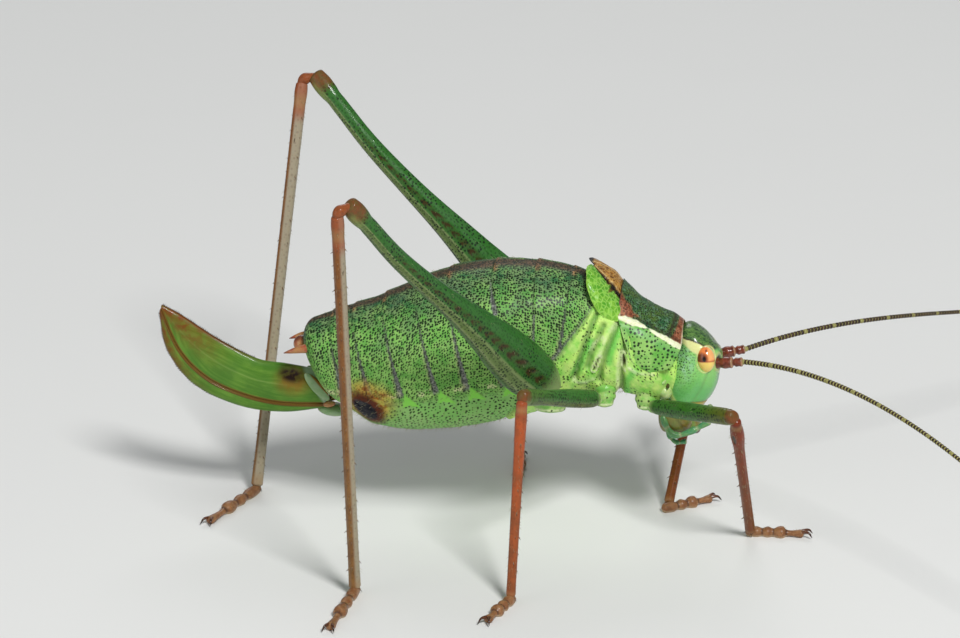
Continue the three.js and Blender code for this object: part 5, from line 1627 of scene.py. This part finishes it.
def make_ovipositor(settings):
    """Two pairs of valves, closed into one upcurved blade with a saw edge."""
    finish = blade_finish(settings.colours)
    for name, edge in (("upper", BLADE_UPPER), ("lower", BLADE_LOWER)):
        points, run, rise, ridge = valve_points(edge, BLADE_RIDGE)
        x, z = points[..., 0], points[..., 2]
        upper = float(name == "upper")
        points[..., 1] *= 0.97 + 0.03 * upper
        spot = spot_mask(x + 0.3 * (z - 7.0), z, (-8.85, 6.98), (0.55, 0.34), 0.5)
        halo = spot_mask(x, z, (-8.75, 6.7), (0.75, 0.6), 0.6)
        plate = smooth(x - (-8.5 + 0.62 * (7.6 - z)), -0.12, 0.12) * smooth(run, 0.16, 0.12)
        valve = Piece(f"blade_{name}")
        valve.add(points, finish, seam=smooth(ridge, 0.24, 0.17), halo=halo * upper, spot=spot * upper, pale=plate,
                  tip=smooth(run, 0.45, 0.9) * smooth(rise, -0.8, 0.5),
                  edge=smooth(rise, 0.86, 0.97) * smooth(run, 0.25, 0.6),
                  vein=line_of(rise, 0.05, 0.05) * upper * (run > 0.2))
        valve.finish("ovipositor", f"ovipositor_{name}")
    tooth = bristle_finish("Teeth", (0.05, 0.035, 0.01), (0.012, 0.006, 0.004), 0.3)
    teeth = []
    for line, start, side in ((BLADE_UPPER, 0.4, 1), (BLADE_LOWER, 0.5, -1)):
        spots = smooth_curve(line, 400)
        ahead = unit(np.gradient(spots, axis=0))
        for share in np.arange(start, 0.99, 0.0115):
            i = int(share * 399)
            out = np.array([-ahead[i, 1], ahead[i, 0]]) * -side
            aim = out + 0.5 * ahead[i]
            root = spots[i] - out * 0.03
            size = settings.sizes.tooth_length / MM * (0.75 + 0.4 * math.sin(share * 37.0) ** 2)
            teeth.append(((root[0], 0, root[1]), (aim[0], 0, aim[1]), size, 0.045))
    return make_spines("blade_teeth", teeth, tooth, "ovipositor")


def make_tail_plates():
    """Cerci, the plate between them, the plate under the ovipositor and small plates at its root."""
    reddish = mouth_finish("Cerci", (0.42, 0.22, 0.08), (0.34, 0.08, 0.035), (0.12, 0.03, 0.015))
    pale = mouth_finish("Tail plates", (0.26, 0.38, 0.20), (0.20, 0.34, 0.14), (0.26, 0.11, 0.02))
    for side, label in SIDES:
        share = np.linspace(0, 1, 60)
        path = smooth_curve(CERCUS_PATH, 60) * [1, side, 1]
        radius = CERCUS_RADIUS * profile((0, 1), (0.25, 1.1), (0.6, 0.75), (0.85, 0.38), (1, 0.08))(share)
        cone = Piece(f"cercus_cone_{label}")
        cone.add(sweep(path, radius, 36), reddish, dark=smooth(share, 0.8, 1.0)[:, None])
        cone.finish("cercus", f"cercus_{label}")
    under = Piece("under_plate")
    points, place = egg(*SUBGENITAL_PLATE, 1, 40, 56)
    under.add(points, pale, dark=0.5 * smooth(place[..., 0], -0.7, -1.0))
    under.finish("body", "subgenital_plate")
    small = Piece("tail_plates")
    points, place = egg((-8.35, 0, 8.45), (0.42, 0.36, 0.4), 25, 1, 36, 40)
    small.add(points, reddish, dark=smooth(place[..., 2], 0.4, 1.0))
    for side in (-1, 1):
        points, place = egg((-7.62, 0.5, 6.48), (0.86, 0.12, 0.27), -50, side, 40, 44)
        small.add(points, pale, dark=smooth(place[..., 2], 0.45, 0.75))
        points, place = egg((-7.05, 0.42, 5.62), (0.3, 0.18, 0.15), 10, side, 24, 28)
        small.add(points, reddish)
    return small.finish("body")


# ---------------------------------------------------------------- Legs

def limb(start, end, bend, rows, relief, count, sides, bow=STRAIGHT):
    """Rings of a limb, deep in the plane it bends in; relief gives height and masks for share and angle."""
    along = unit(end - start)
    thick = unit(bend)
    deep = np.cross(thick, along)
    length = np.linalg.norm(end - start)
    run, size = round_ends(count, length, LIMB_CAP)
    share = (run / length)[:, None]
    turn = circle(sides)[None, :]
    depth = profile(*((at, d) for at, d, _ in rows))(share) / 2
    width = profile(*((at, w) for at, _, w in rows))(share) / 2
    height, masks = relief(share, turn) if relief else (0, {})
    over = np.cos(turn) * (depth + height) * size[:, None] + profile(*bow)(share)
    out = np.sin(turn) * (width + height) * size[:, None]
    middle = start + along * run[:, None]
    return middle[:, None] + deep * over[..., None] + thick * out[..., None], masks


def leg_frame(leg):
    """Where a leg's parts begin and end, from its hip, knee and ankle."""
    _, pair, _, hip, knee, ankle, _ = leg
    hip, knee = np.array(hip), np.array(knee)
    ankle = np.array([*ankle, 0.0])
    shin = unit(ankle - knee)
    thigh = unit(knee - hip)
    inward = unit(shin - thigh * (shin @ thigh))
    start = knee + inward * PAIRS[pair]["drop"] + thigh * PAIRS[pair]["reach"]
    end = ankle + (start - ankle) * ANKLE_HEIGHT / start[2]
    return hip, knee + thigh * KNEE_RADIUS, start, end, ankle, np.cross(thigh, shin)


def femur_relief(pair):
    """Keels and markings of a thigh."""
    def relief(share, turn):
        lower, outer = np.cos(turn), np.sin(turn)
        wide = 1 - smooth(share, 0.3, 0.75) if pair == "hind" else 0 * share
        keels = np.maximum(line_of(lower, 0.42, 0.10), line_of(lower, 0.80, 0.07)) * (np.abs(outer) > 0.2)
        band = smooth(lower, 0.30, 0.42) * (1 - smooth(lower, 0.86, 0.97)) * smooth(share, 0.02, 0.12)
        top = line_of(lower, -0.62, 0.09) * (np.abs(outer) > 0.2)
        rib = np.sin(2 * math.pi * (share * 26 + 1.9 * np.abs(lower - 0.05)) + 2 * np.sin(17 * share))
        chevron = (0.35 + 0.65 * smooth(rib, -0.4, 0.4)) * smooth(line_of(lower, -0.02, 0.34), 0.1, 0.6)
        chevron = chevron * (np.abs(outer) > 0.5) * smooth(share, 0.04, 0.1) * (1 - smooth(share, 0.7, 0.85))
        knee = smooth(share, 0.925, 0.965)
        lobe = smooth(share, 0.9, 0.94) * (1 - smooth(share, 0.965, 0.99)) * smooth(lower, 0.2, 0.8)
        crease = line_of(share, 0.915, 0.02)
        hind = float(pair == "hind")
        dash = np.sin(2 * math.pi * share * 26) * line_of(lower, -0.05, 0.3)
        height = wide * (0.05 * keels + 0.04 * top - 0.03 * chevron) - 0.02 * crease
        height = height + 0.015 * (wide == 0) * np.maximum(keels, top) * (1 - knee)
        masks = {
            "lower": smooth(lower, 0.0, 0.8),
            "keel": hind * keels * (1 - knee),
            "band": hind * band * (1 - knee),
            "dash": hind * chevron + (1 - hind) * 0.6 * np.clip(dash, 0, 1) * (1 - knee),
            "knee": knee,
            "lobe": lobe,
            "base": smooth(share, 0.09, 0.02),
            "outer": smooth(share, 0.55, 0.95) * (1 - hind),
        }
        return height, masks
    return relief


def femur_finish(name, sizes, colours, upper, lower, far):
    """Green thigh with dashes, pale keels and a brown knee."""
    made, tree = shell(name)
    place = tree.millimetres()
    spots = tree.skin_place()
    cloud = mottle(tree, place, 0.9)
    colour = tree.mix(tree.mask("lower"), upper, lower)
    broken = tree.times(tree.mask("dash"), tree.ramp(mottle(tree, place, 0.25), 0.1, 0.5, 0.5, 1.0))
    dots = specks(tree, spots, sizes.speck_spacing / MM * 1.35, sizes.speck_size)
    some = tree.times(dots, tree.ramp(mottle(tree, place, 1.3), 0.3, 0.7, 0.45, 1.0))
    brown = tree.mix(mottle(tree, place, 0.3), (0.19, 0.055, 0.02), (0.13, 0.07, 0.022))
    colour = tree.lay(
        colour, (cloud, 0.45, colours.deep_green), ("outer", 0.7, far), ("band", 0.7, (0.14, 0.19, 0.06)),
        (broken, 0.9, (0.05, 0.018, 0.008)), ("keel", 0.45, (0.30, 0.36, 0.16)), (some, 0.9, colours.speck),
        ("base", 0.55, (0.46, 0.56, 0.24)), ("knee", 0.9, brown), ("lobe", 0.6, (0.24, 0.34, 0.10)),
    )
    height = tree.maths("SUBTRACT", grain(tree, place, 0.1), tree.times(some, 0.4))
    lacquer(tree, colour, tree.fade(cloud, 0.28, 0.4), tree.bump(height, 0.00001), coat=0.2,
            coat_roughness=0.06, soft=0.03, shine=0.1)
    return made


def tibia_relief(pair):
    """Furrows, ear drum and markings of a shin, and the side that carries a painted reflection."""
    def relief(share, turn):
        lower, outer = np.cos(turn), np.sin(turn)
        furrow = line_of(outer, 0.0, 0.3) * smooth(np.abs(lower), 0.5, 1.0) * smooth(share, 0.05, 0.15)
        drum = np.hypot((share - 0.145) / 0.045, lower / 0.4) * (1 if pair == "fore" else 9)
        ear = smooth(drum, 1.0, 0.7) * (np.abs(outer) > 0.3)
        neck = line_of(share, 0.05, 0.03)
        height = -0.02 * furrow - 0.06 * ear - 0.02 * neck
        # front: the side where a grey reflection is painted on the hind shins.
        return height, {"ear": ear, "end": smooth(share, 0.955, 0.985), "neck": neck,
                        "front": smooth(lower, -0.62, -0.12), "far": smooth(share, 0.1, 0.9),
                        "head": smooth(share, 0.11, 0.07)}
    return relief


def tibia_finish(name, near, far, painted_reflection_share=0.0, top=(0.29, 0.07, 0.025)):
    """Brown shin, paler at its ends; on the hind shins, a painted grey reflection down the front side."""
    made, tree = shell(name)
    place = tree.millimetres()
    spots = tree.skin_place()
    cloud = mottle(tree, place, 0.5)
    colour = tree.mix(tree.mask("far"), near, far)
    colour = tree.lay(
        colour, (cloud, 0.45, (0.13, 0.05, 0.018)),
        # Painted reflection: pale grey-beige down the front side of the shin.
        ("front", painted_reflection_share, (0.36, 0.33, 0.24)), ("head", 0.75, top),
        (specks(tree, spots, 0.26, 0.18), 0.22, (0.07, 0.025, 0.012)), ("neck", 0.35, (0.36, 0.26, 0.10)),
        ("ear", 1, (0.05, 0.03, 0.015)), ("end", 0.4, (0.36, 0.20, 0.08)),
    )
    normal = tree.bump(grain(tree, place, 0.07), 0.000008)
    lacquer(tree, colour, tree.fade(cloud, 0.34, 0.46), normal, coat=0.3, coat_roughness=0.05, soft=0.05,
            soft_colour=(1.0, 0.4, 0.15), shine=0.12)
    return made


foot_swell = profile((0.0, 0.62), (0.05, 0.85), (0.2, 0.98), (0.29, 0.72), (0.38, 1.02), (0.48, 0.72), (0.56, 1.1),
                     (0.64, 1.12), (0.7, 0.6), (0.82, 0.6), (0.95, 0.82), (1.0, 0.7))
FOOT_JOINTS = (0.29, 0.48, 0.7)


def foot_surface(ankle, toes, length):
    """Four lobed joints flat on the floor."""
    ahead = np.array([math.cos(math.radians(toes)), math.sin(math.radians(toes)), 0.0])
    aside = np.array([-ahead[1], ahead[0], 0.0])
    run, size = round_ends(150, length, FOOT_CAP)
    share = (run / length)[:, None]
    turn = circle(44)[None, :]
    reach = SOLE_RADIUS * foot_swell(share) * size[:, None]
    notch = np.max([line_of(share, at, 0.03) for at in FOOT_JOINTS], 0)
    height = SOLE_RADIUS * 0.69 + np.sin(turn) * reach * (1 - 0.14 * smooth(share, 0.7, 0.8))
    start = ankle - ahead * SOLE_RADIUS
    points = start + ahead * run[:, None, None] + aside * (np.cos(turn) * reach)[..., None]
    points = points + np.array([0, 0, 1.0]) * np.maximum(height, 0.0)[..., None]
    masks = {"joint": notch, "pad": smooth(-np.sin(turn), 0.05, 0.6) * (share < 0.72)}
    return points, masks, start, ahead, aside


def foot_finish():
    """Pinkish brown, dark between joints, with pale pads."""
    made, tree = shell("Foot")
    place = tree.millimetres()
    cloud = mottle(tree, place, 0.3)
    colour = tree.mix(cloud, (0.30, 0.15, 0.065), (0.20, 0.085, 0.035))
    colour = tree.lay(colour, ("joint", 0.8, (0.06, 0.025, 0.015)), ("pad", 0.8, (0.50, 0.36, 0.22)))
    normal = tree.bump(grain(tree, place, 0.06), 0.000008)
    lacquer(tree, colour, 0.4, normal, coat=0.2, soft=0.25, soft_colour=(1.0, 0.5, 0.3))
    return made


def hip_surfaces(pair, side, hip, toward):
    """The cone of a hip that comes out of the body, and the knuckle that the thigh turns on."""
    centre, half = PAIRS[pair]["coxa"]
    centre = np.array([centre[0], centre[1] * side, centre[2]])
    low = centre - [0, -0.1 * side, half[2] * 0.62]
    path = smooth_curve([centre + [0, -0.25 * side, half[2] * 0.9], centre, low], 60)
    share = np.linspace(0, 1, 60)
    size = profile((0, 0.95), (0.4, 1.0), (0.75, 0.86), (0.93, 0.66), (1, 0.3))(share)
    ridge = 1 + 0.05 * np.cos(2 * math.pi * share * 3.2)
    cone = sweep(path, np.stack([half[0] * size * ridge, half[1] * size * ridge], 1), 56, up=(1, 0, 0))
    knuckle, place = egg((0, 0, 0), (0.3, 0.3, 0.3), 0, 1, 28, 36)
    return cone, share, knuckle + hip + toward * 0.12, place


def hip_finish(sizes):
    """Yellowish green with pale rims and a few specks."""
    made, tree = shell("Hip")
    place = tree.millimetres()
    cloud = mottle(tree, place, 0.4)
    colour = tree.mix(cloud, (0.18, 0.48, 0.08), (0.40, 0.56, 0.18))
    dots = specks(tree, tree.skin_place(), 0.24, sizes.speck_size * 0.7)
    colour = tree.lay(
        colour, ("rim", 0.8, (0.66, 0.74, 0.42)),
        (tree.times(dots, tree.ramp(cloud, 0.3, 0.7)), 1, (0.03, 0.06, 0.01)),
    )
    normal = tree.bump(grain(tree, place, 0.12), 0.00002)
    lacquer(tree, colour, 0.3, normal, coat=0.3, coat_roughness=0.15, soft=0.12)
    return made


def knee_arm(femur_end, thigh_way, shin_start, shin_way):
    """The bent arm that carries a hind shin from its knee."""
    knee = femur_end - thigh_way * KNEE_RADIUS
    middle = (knee + shin_start) / 2 + thigh_way * 0.1
    path = smooth_curve([knee, middle, shin_start, shin_start + shin_way * 0.4], 40)
    ends = np.sin(np.linspace(0.02, math.pi - 0.02, 40)) ** 0.25
    return sweep(path, (KNEE_ARM + 0.03 * np.cos(4 * math.pi * np.linspace(0, 1, 40))) * ends, 40)


# A claw's path from the foot's end: ahead, aside and up
CLAW_PATH = ((-0.12, 0.03, 0.2), (0.12, 0.1, 0.3), (0.36, 0.2, 0.3), (0.52, 0.28, 0.1))


def make_legs(settings):
    """Six legs: hip, thigh, shin and a foot with two claws each."""
    sizes, colours = settings.sizes, settings.colours
    hips = hip_finish(sizes)
    thighs = {
        pair: femur_finish(f"{label} thigh", sizes, colours, *tints) for pair, label, *tints in (
            ("fore", "Fore", (0.035, 0.15, 0.012), (0.06, 0.17, 0.015), (0.13, 0.10, 0.02)),
            ("mid", "Middle", (0.04, 0.15, 0.03), (0.13, 0.15, 0.025), (0.08, 0.14, 0.025)),
            ("hind", "Hind", (0.03, 0.13, 0.02), (0.06, 0.14, 0.03), (0.1, 0.1, 0.03)),
        )
    }
    shins = {
        "fore": tibia_finish("Fore shin", (0.22, 0.036, 0.010), (0.19, 0.055, 0.014), top=(0.16, 0.028, 0.01)),
        "mid": tibia_finish("Middle shin", (0.40, 0.08, 0.02), (0.30, 0.075, 0.02)),
        # The hind shins get the painted grey reflection at a strength of 0.8.
        "hind": tibia_finish("Hind shin", (0.22, 0.08, 0.018), colours.tan, 0.8),
    }
    foot = foot_finish()
    claw = mouth_finish("Claws", (0.09, 0.03, 0.015), (0.14, 0.05, 0.02), (0.01, 0.006, 0.004))
    for leg in LEGS:
        name, pair, side, *_, toes = leg
        form, hind = PAIRS[pair], pair == "hind"
        hip, femur_end, shin_start, shin_end, ankle, bend = leg_frame(leg)
        toward = unit(femur_end - hip)
        base = Piece(f"hip_{name}")
        cone, share, knuckle, place = hip_surfaces(pair, side, hip, toward)
        base.add(cone, hips, rim=line_of(share, 0.86, 0.07)[:, None])
        base.add(knuckle, hips, rim=0.7 * line_of(place[..., 2], 0.0, 0.35))
        base.finish("coxa", f"coxa_{name}")
        thigh = Piece(f"thigh_{name}")
        count, sides = (220, 96) if hind else (130, 64)
        points, masks = limb(hip, femur_end, bend, form["femur"], femur_relief(pair), count, sides,
                             form.get("bow", STRAIGHT))
        thigh.add(points, thighs[pair], **masks)
        thigh.finish("femur", f"femur_{name}")
        shin = Piece(f"shin_{name}")
        points, masks = limb(shin_start, shin_end, bend, form["tibia"], tibia_relief(pair), 190, 40)
        shin.add(points, shins[pair], **masks)
        if hind:
            shin.add(knee_arm(femur_end, toward, shin_start, unit(shin_end - shin_start)), shins[pair], head=0.8)
        shin.finish("tibia_hind" if hind else "tibia", f"tibia_{name}")
        sole = Piece(f"foot_{name}")
        points, masks, start, ahead, aside = foot_surface(ankle, toes, form["tarsus"])
        sole.add(points, foot, **masks)
        root = start + ahead * form["tarsus"] * 0.95
        share = np.linspace(0, 1, 30)
        for turn in (-1, 1):
            spots = [root + ahead * a + aside * turn * b + np.array([0, 0, c]) for a, b, c in CLAW_PATH]
            rings = sweep(smooth_curve(spots, 30), 0.1 * (1 - share) ** 0.7 + 0.008, 14)
            sole.add(rings, claw, dark=smooth(share, 0.3, 1.0)[:, None])
        sole.finish("tarsus", f"tarsus_{name}")


def make_leg_spines(settings):
    """Rows of spines along the shins, and spurs at their ends."""
    finish = bristle_finish("Spines", (0.30, 0.16, 0.07), (0.05, 0.022, 0.012), 0.3)
    rows = {"fore": (0.24, 0.95, 7, (0.75, -0.75)), "mid": (0.2, 0.95, 9, (0.75, -0.75, 2.5)),
            "hind": (0.08, 0.97, 26, (2.45, -2.45, 0.7, -0.7))}
    for leg in LEGS:
        name, pair = leg[:2]
        _, _, start, end, _, bend = leg_frame(leg)
        along, thick = unit(end - start), unit(bend)
        deep = np.cross(thick, along)
        low, high, count, turns = rows[pair]
        spines = []
        length = settings.sizes.spine_length / MM
        width = profile(*((at, w) for at, _, w in PAIRS[pair]["tibia"]))
        for number, turn in enumerate(turns):
            few = count if number < 2 else count * 2 // 3
            for i in range(few):
                share = low + (high - low) * (i + 0.3 * (number % 2) + 0.12 * math.sin(7.0 * i + number)) / few
                out = deep * math.cos(turn) + thick * math.sin(turn)
                root = start + (end - start) * share + out * (width(share) / 2 - 0.03)
                size = length * (1.15 if pair == "fore" else 1.0) * (0.8 + 0.25 * math.sin(i * 2.3 + number))
                spines.append((root, out + along * 1.1, size, 0.034 if pair == "hind" else 0.04))
        for turn in (0.6, -0.6, 2.5, -2.5):
            out = deep * math.cos(turn) + thick * math.sin(turn)
            spines.append((end - along * 0.1 + out * 0.12, out * 0.7 + along, length * 1.7, 0.05))
        make_spines(f"spines_{name}", spines, finish, "tibia_hind" if pair == "hind" else "tibia")


def make_hairs(settings):
    """Fine pale hairs over the belly, legs, feet and tail."""
    finish = bristle_finish("Hairs", (0.22, 0.20, 0.09), (0.50, 0.46, 0.28), 0.5)
    length, seed = settings.sizes.hair_length, settings.sizes.hair_seed
    x = np.linspace(TRUNK_START + 0.5, NECK_FROM, 60)[:, None]
    turn = circle(60)[None, :]
    skin = trunk_point(x, turn, 1.0, -0.03)
    low = smooth(-np.sin(turn), 0.1, 0.7) + 0.12
    make_coat("trunk_hairs", [(skin, low)], (-0.9, 0, -0.2), 14, length, 0.008, finish, "body", seed)
    for leg in LEGS:
        name, pair = leg[:2]
        hip, femur_end, start, end, ankle, bend = leg_frame(leg)
        form = PAIRS[pair]
        thigh = limb(hip, femur_end, bend, form["femur"], None, 40, 20, form.get("bow", STRAIGHT))[0][8:-8]
        shin = limb(start, end, bend, form["tibia"], None, 40, 20)[0][8:-8]
        foot = foot_surface(ankle, leg[-1], form["tarsus"])[0][8:-8]
        hairy = [(thigh, 0.15), (shin, 1.3 * smooth(shin[..., 2], 0.45, 0.6)),
                 (foot, 1.4 * smooth(foot[..., 2], 0.28, 0.36))]
        lie = tuple(unit(end - start) * 0.9)
        make_coat(f"hairs_{name}", hairy, lie, 10, length * 0.8, 0.006, finish, "femur", seed)


# ---------------------------------------------------------------- Stage

def floor_finish(colours):
    """Dull off-white with faint clouds."""
    made, tree = shell("Floor")
    colour = tree.lay(colours.floor, (mottle(tree, tree.millimetres(), 30.0), 0.15, (0.76, 0.76, 0.74)))
    lacquer(tree, colour, 0.85)
    return made


def aim_at_target(made, away):
    """Turns a light or camera, which looks down its own z, from a place away from the target to the target."""
    made.rotation_euler = (-away).to_track_quat("-Z", "Y").to_euler()


def make_stage(settings):
    """Pale floor, soft lights and the camera."""
    mesh = bpy.data.meshes.new("floor")
    corners = [(x * FLOOR_HALF, y * FLOOR_HALF, 0) for x, y in ((-1, -1), (1, -1), (1, 1), (-1, 1))]
    mesh.from_pydata(corners, [], [(0, 1, 2, 3)])
    mesh.uv_layers.new(name="OFBake")
    mesh.materials.append(floor_finish(settings.colours))
    floor = link(bpy.data.objects.new("floor", mesh))
    target = Vector(TARGET)
    for name, place, size, power in LIGHTS:
        data = bpy.data.lights.new(name, "AREA")
        data.shape = "DISK"
        data.size = size
        data.energy = power
        light = link(bpy.data.objects.new(name, data))
        light.location = place
        aim_at_target(light, light.location - target)
    world = bpy.data.worlds.new("studio")
    world.use_nodes = True
    sky = world.node_tree.nodes["Background"].inputs
    sky["Color"].default_value = (0.90, 0.95, 1.0, 1)
    sky["Strength"].default_value = 0.2
    data = bpy.data.cameras.new("camera")
    data.lens = CAMERA_LENS
    data.sensor_width = 36
    data.clip_start = 0.01
    data.clip_end = 10
    camera = link(bpy.data.objects.new("camera", data))
    rise, swing = math.radians(CAMERA_RISE), math.radians(CAMERA_SWING)
    away = Vector((math.cos(rise) * math.sin(swing), -math.cos(rise) * math.cos(swing), math.sin(rise)))
    camera.location = target + away * CAMERA_DISTANCE
    aim_at_target(camera, away)
    scene = bpy.context.scene
    scene.world = world
    scene.camera = camera
    scene.view_settings.view_transform = "Standard"


# ---------------------------------------------------------------- Operators, panel and add-on

class CricketSettings(PropertyGroup):
    """Everything that can be set for the insect"""

    sizes: PointerProperty(type=CricketSizes, name="Sizes", description="Sizes of what repeats")
    colours: PointerProperty(type=CricketColours, name="Colours", description="Colours of the parts")


class CRICKET_OT_trunk(Operator):
    """Make the skin of abdomen, thorax and neck"""

    bl_idname = "cricket.trunk"
    bl_label = "Trunk"

    def execute(self, context):
        make_trunk(context.scene.cricket)
        return {"FINISHED"}


class CRICKET_OT_pronotum(Operator):
    """Make the saddle-shaped shield behind the head"""

    bl_idname = "cricket.pronotum"
    bl_label = "Pronotum"

    def execute(self, context):
        make_pronotum(context.scene.cricket)
        return {"FINISHED"}


class CRICKET_OT_wings(Operator):
    """Make the two stubby wings"""

    bl_idname = "cricket.wings"
    bl_label = "Wings"

    def execute(self, context):
        make_wings()
        return {"FINISHED"}


class CRICKET_OT_head(Operator):
    """Make the head capsule and the two eyes"""

    bl_idname = "cricket.head"
    bl_label = "Head and eyes"

    def execute(self, context):
        make_head(context.scene.cricket)
        make_eyes(context.scene.cricket)
        return {"FINISHED"}


class CRICKET_OT_mouthparts(Operator):
    """Make the lips, jaws and palps"""

    bl_idname = "cricket.mouthparts"
    bl_label = "Mouthparts"

    def execute(self, context):
        make_jaws()
        make_neck_plates()
        make_palps()
        return {"FINISHED"}


class CRICKET_OT_feelers(Operator):
    """Make the two feelers"""

    bl_idname = "cricket.feelers"
    bl_label = "Feelers"

    def execute(self, context):
        make_feelers(context.scene.cricket)
        return {"FINISHED"}


class CRICKET_OT_tail(Operator):
    """Make the ovipositor, its teeth, the cerci and the tail's plates"""

    bl_idname = "cricket.tail"
    bl_label = "Ovipositor and tail"

    def execute(self, context):
        make_ovipositor(context.scene.cricket)
        make_tail_plates()
        return {"FINISHED"}


class CRICKET_OT_legs(Operator):
    """Make the six legs with their spines"""

    bl_idname = "cricket.legs"
    bl_label = "Legs and spines"

    def execute(self, context):
        make_legs(context.scene.cricket)
        make_leg_spines(context.scene.cricket)
        return {"FINISHED"}


class CRICKET_OT_hairs(Operator):
    """Make the fine hairs"""

    bl_idname = "cricket.hairs"
    bl_label = "Fine hairs"

    def execute(self, context):
        make_hairs(context.scene.cricket)
        return {"FINISHED"}


class CRICKET_OT_stage(Operator):
    """Make the floor, lights and camera"""

    bl_idname = "cricket.stage"
    bl_label = "Floor, lights and camera"

    def execute(self, context):
        make_stage(context.scene.cricket)
        return {"FINISHED"}


OPERATORS = (CRICKET_OT_trunk, CRICKET_OT_pronotum, CRICKET_OT_wings, CRICKET_OT_head, CRICKET_OT_mouthparts,
             CRICKET_OT_feelers, CRICKET_OT_tail, CRICKET_OT_legs, CRICKET_OT_hairs, CRICKET_OT_stage)


class CRICKET_PT_pieces(Panel):
    """Lists the insect's settings and pieces in the sidebar"""

    bl_idname = "CRICKET_PT_pieces"
    bl_label = "Bush-cricket"
    bl_space_type = "VIEW_3D"
    bl_region_type = "UI"
    bl_category = "Bush-cricket"

    def draw(self, context):
        settings = context.scene.cricket
        for group in (settings.sizes, settings.colours):
            column = self.layout.column(align=True)
            for name in group.__annotations__:
                column.prop(group, name)
        column = self.layout.column()
        for operator in OPERATORS:
            column.operator(operator.bl_idname)


CLASSES = (CricketSizes, CricketColours, CricketSettings, *OPERATORS, CRICKET_PT_pieces)


def register():
    """Adds the settings, operators and panel."""
    for kind in CLASSES:
        bpy.utils.register_class(kind)
    bpy.types.Scene.cricket = PointerProperty(type=CricketSettings)


def unregister():
    """Takes them away again."""
    del bpy.types.Scene.cricket
    for kind in reversed(CLASSES):
        bpy.utils.unregister_class(kind)


def main():
    """Makes every piece through its operator."""
    register()
    for operator in OPERATORS:
        family, name = operator.bl_idname.split(".")
        getattr(getattr(bpy.ops, family), name)()


if __name__ == "__main__":
    main()
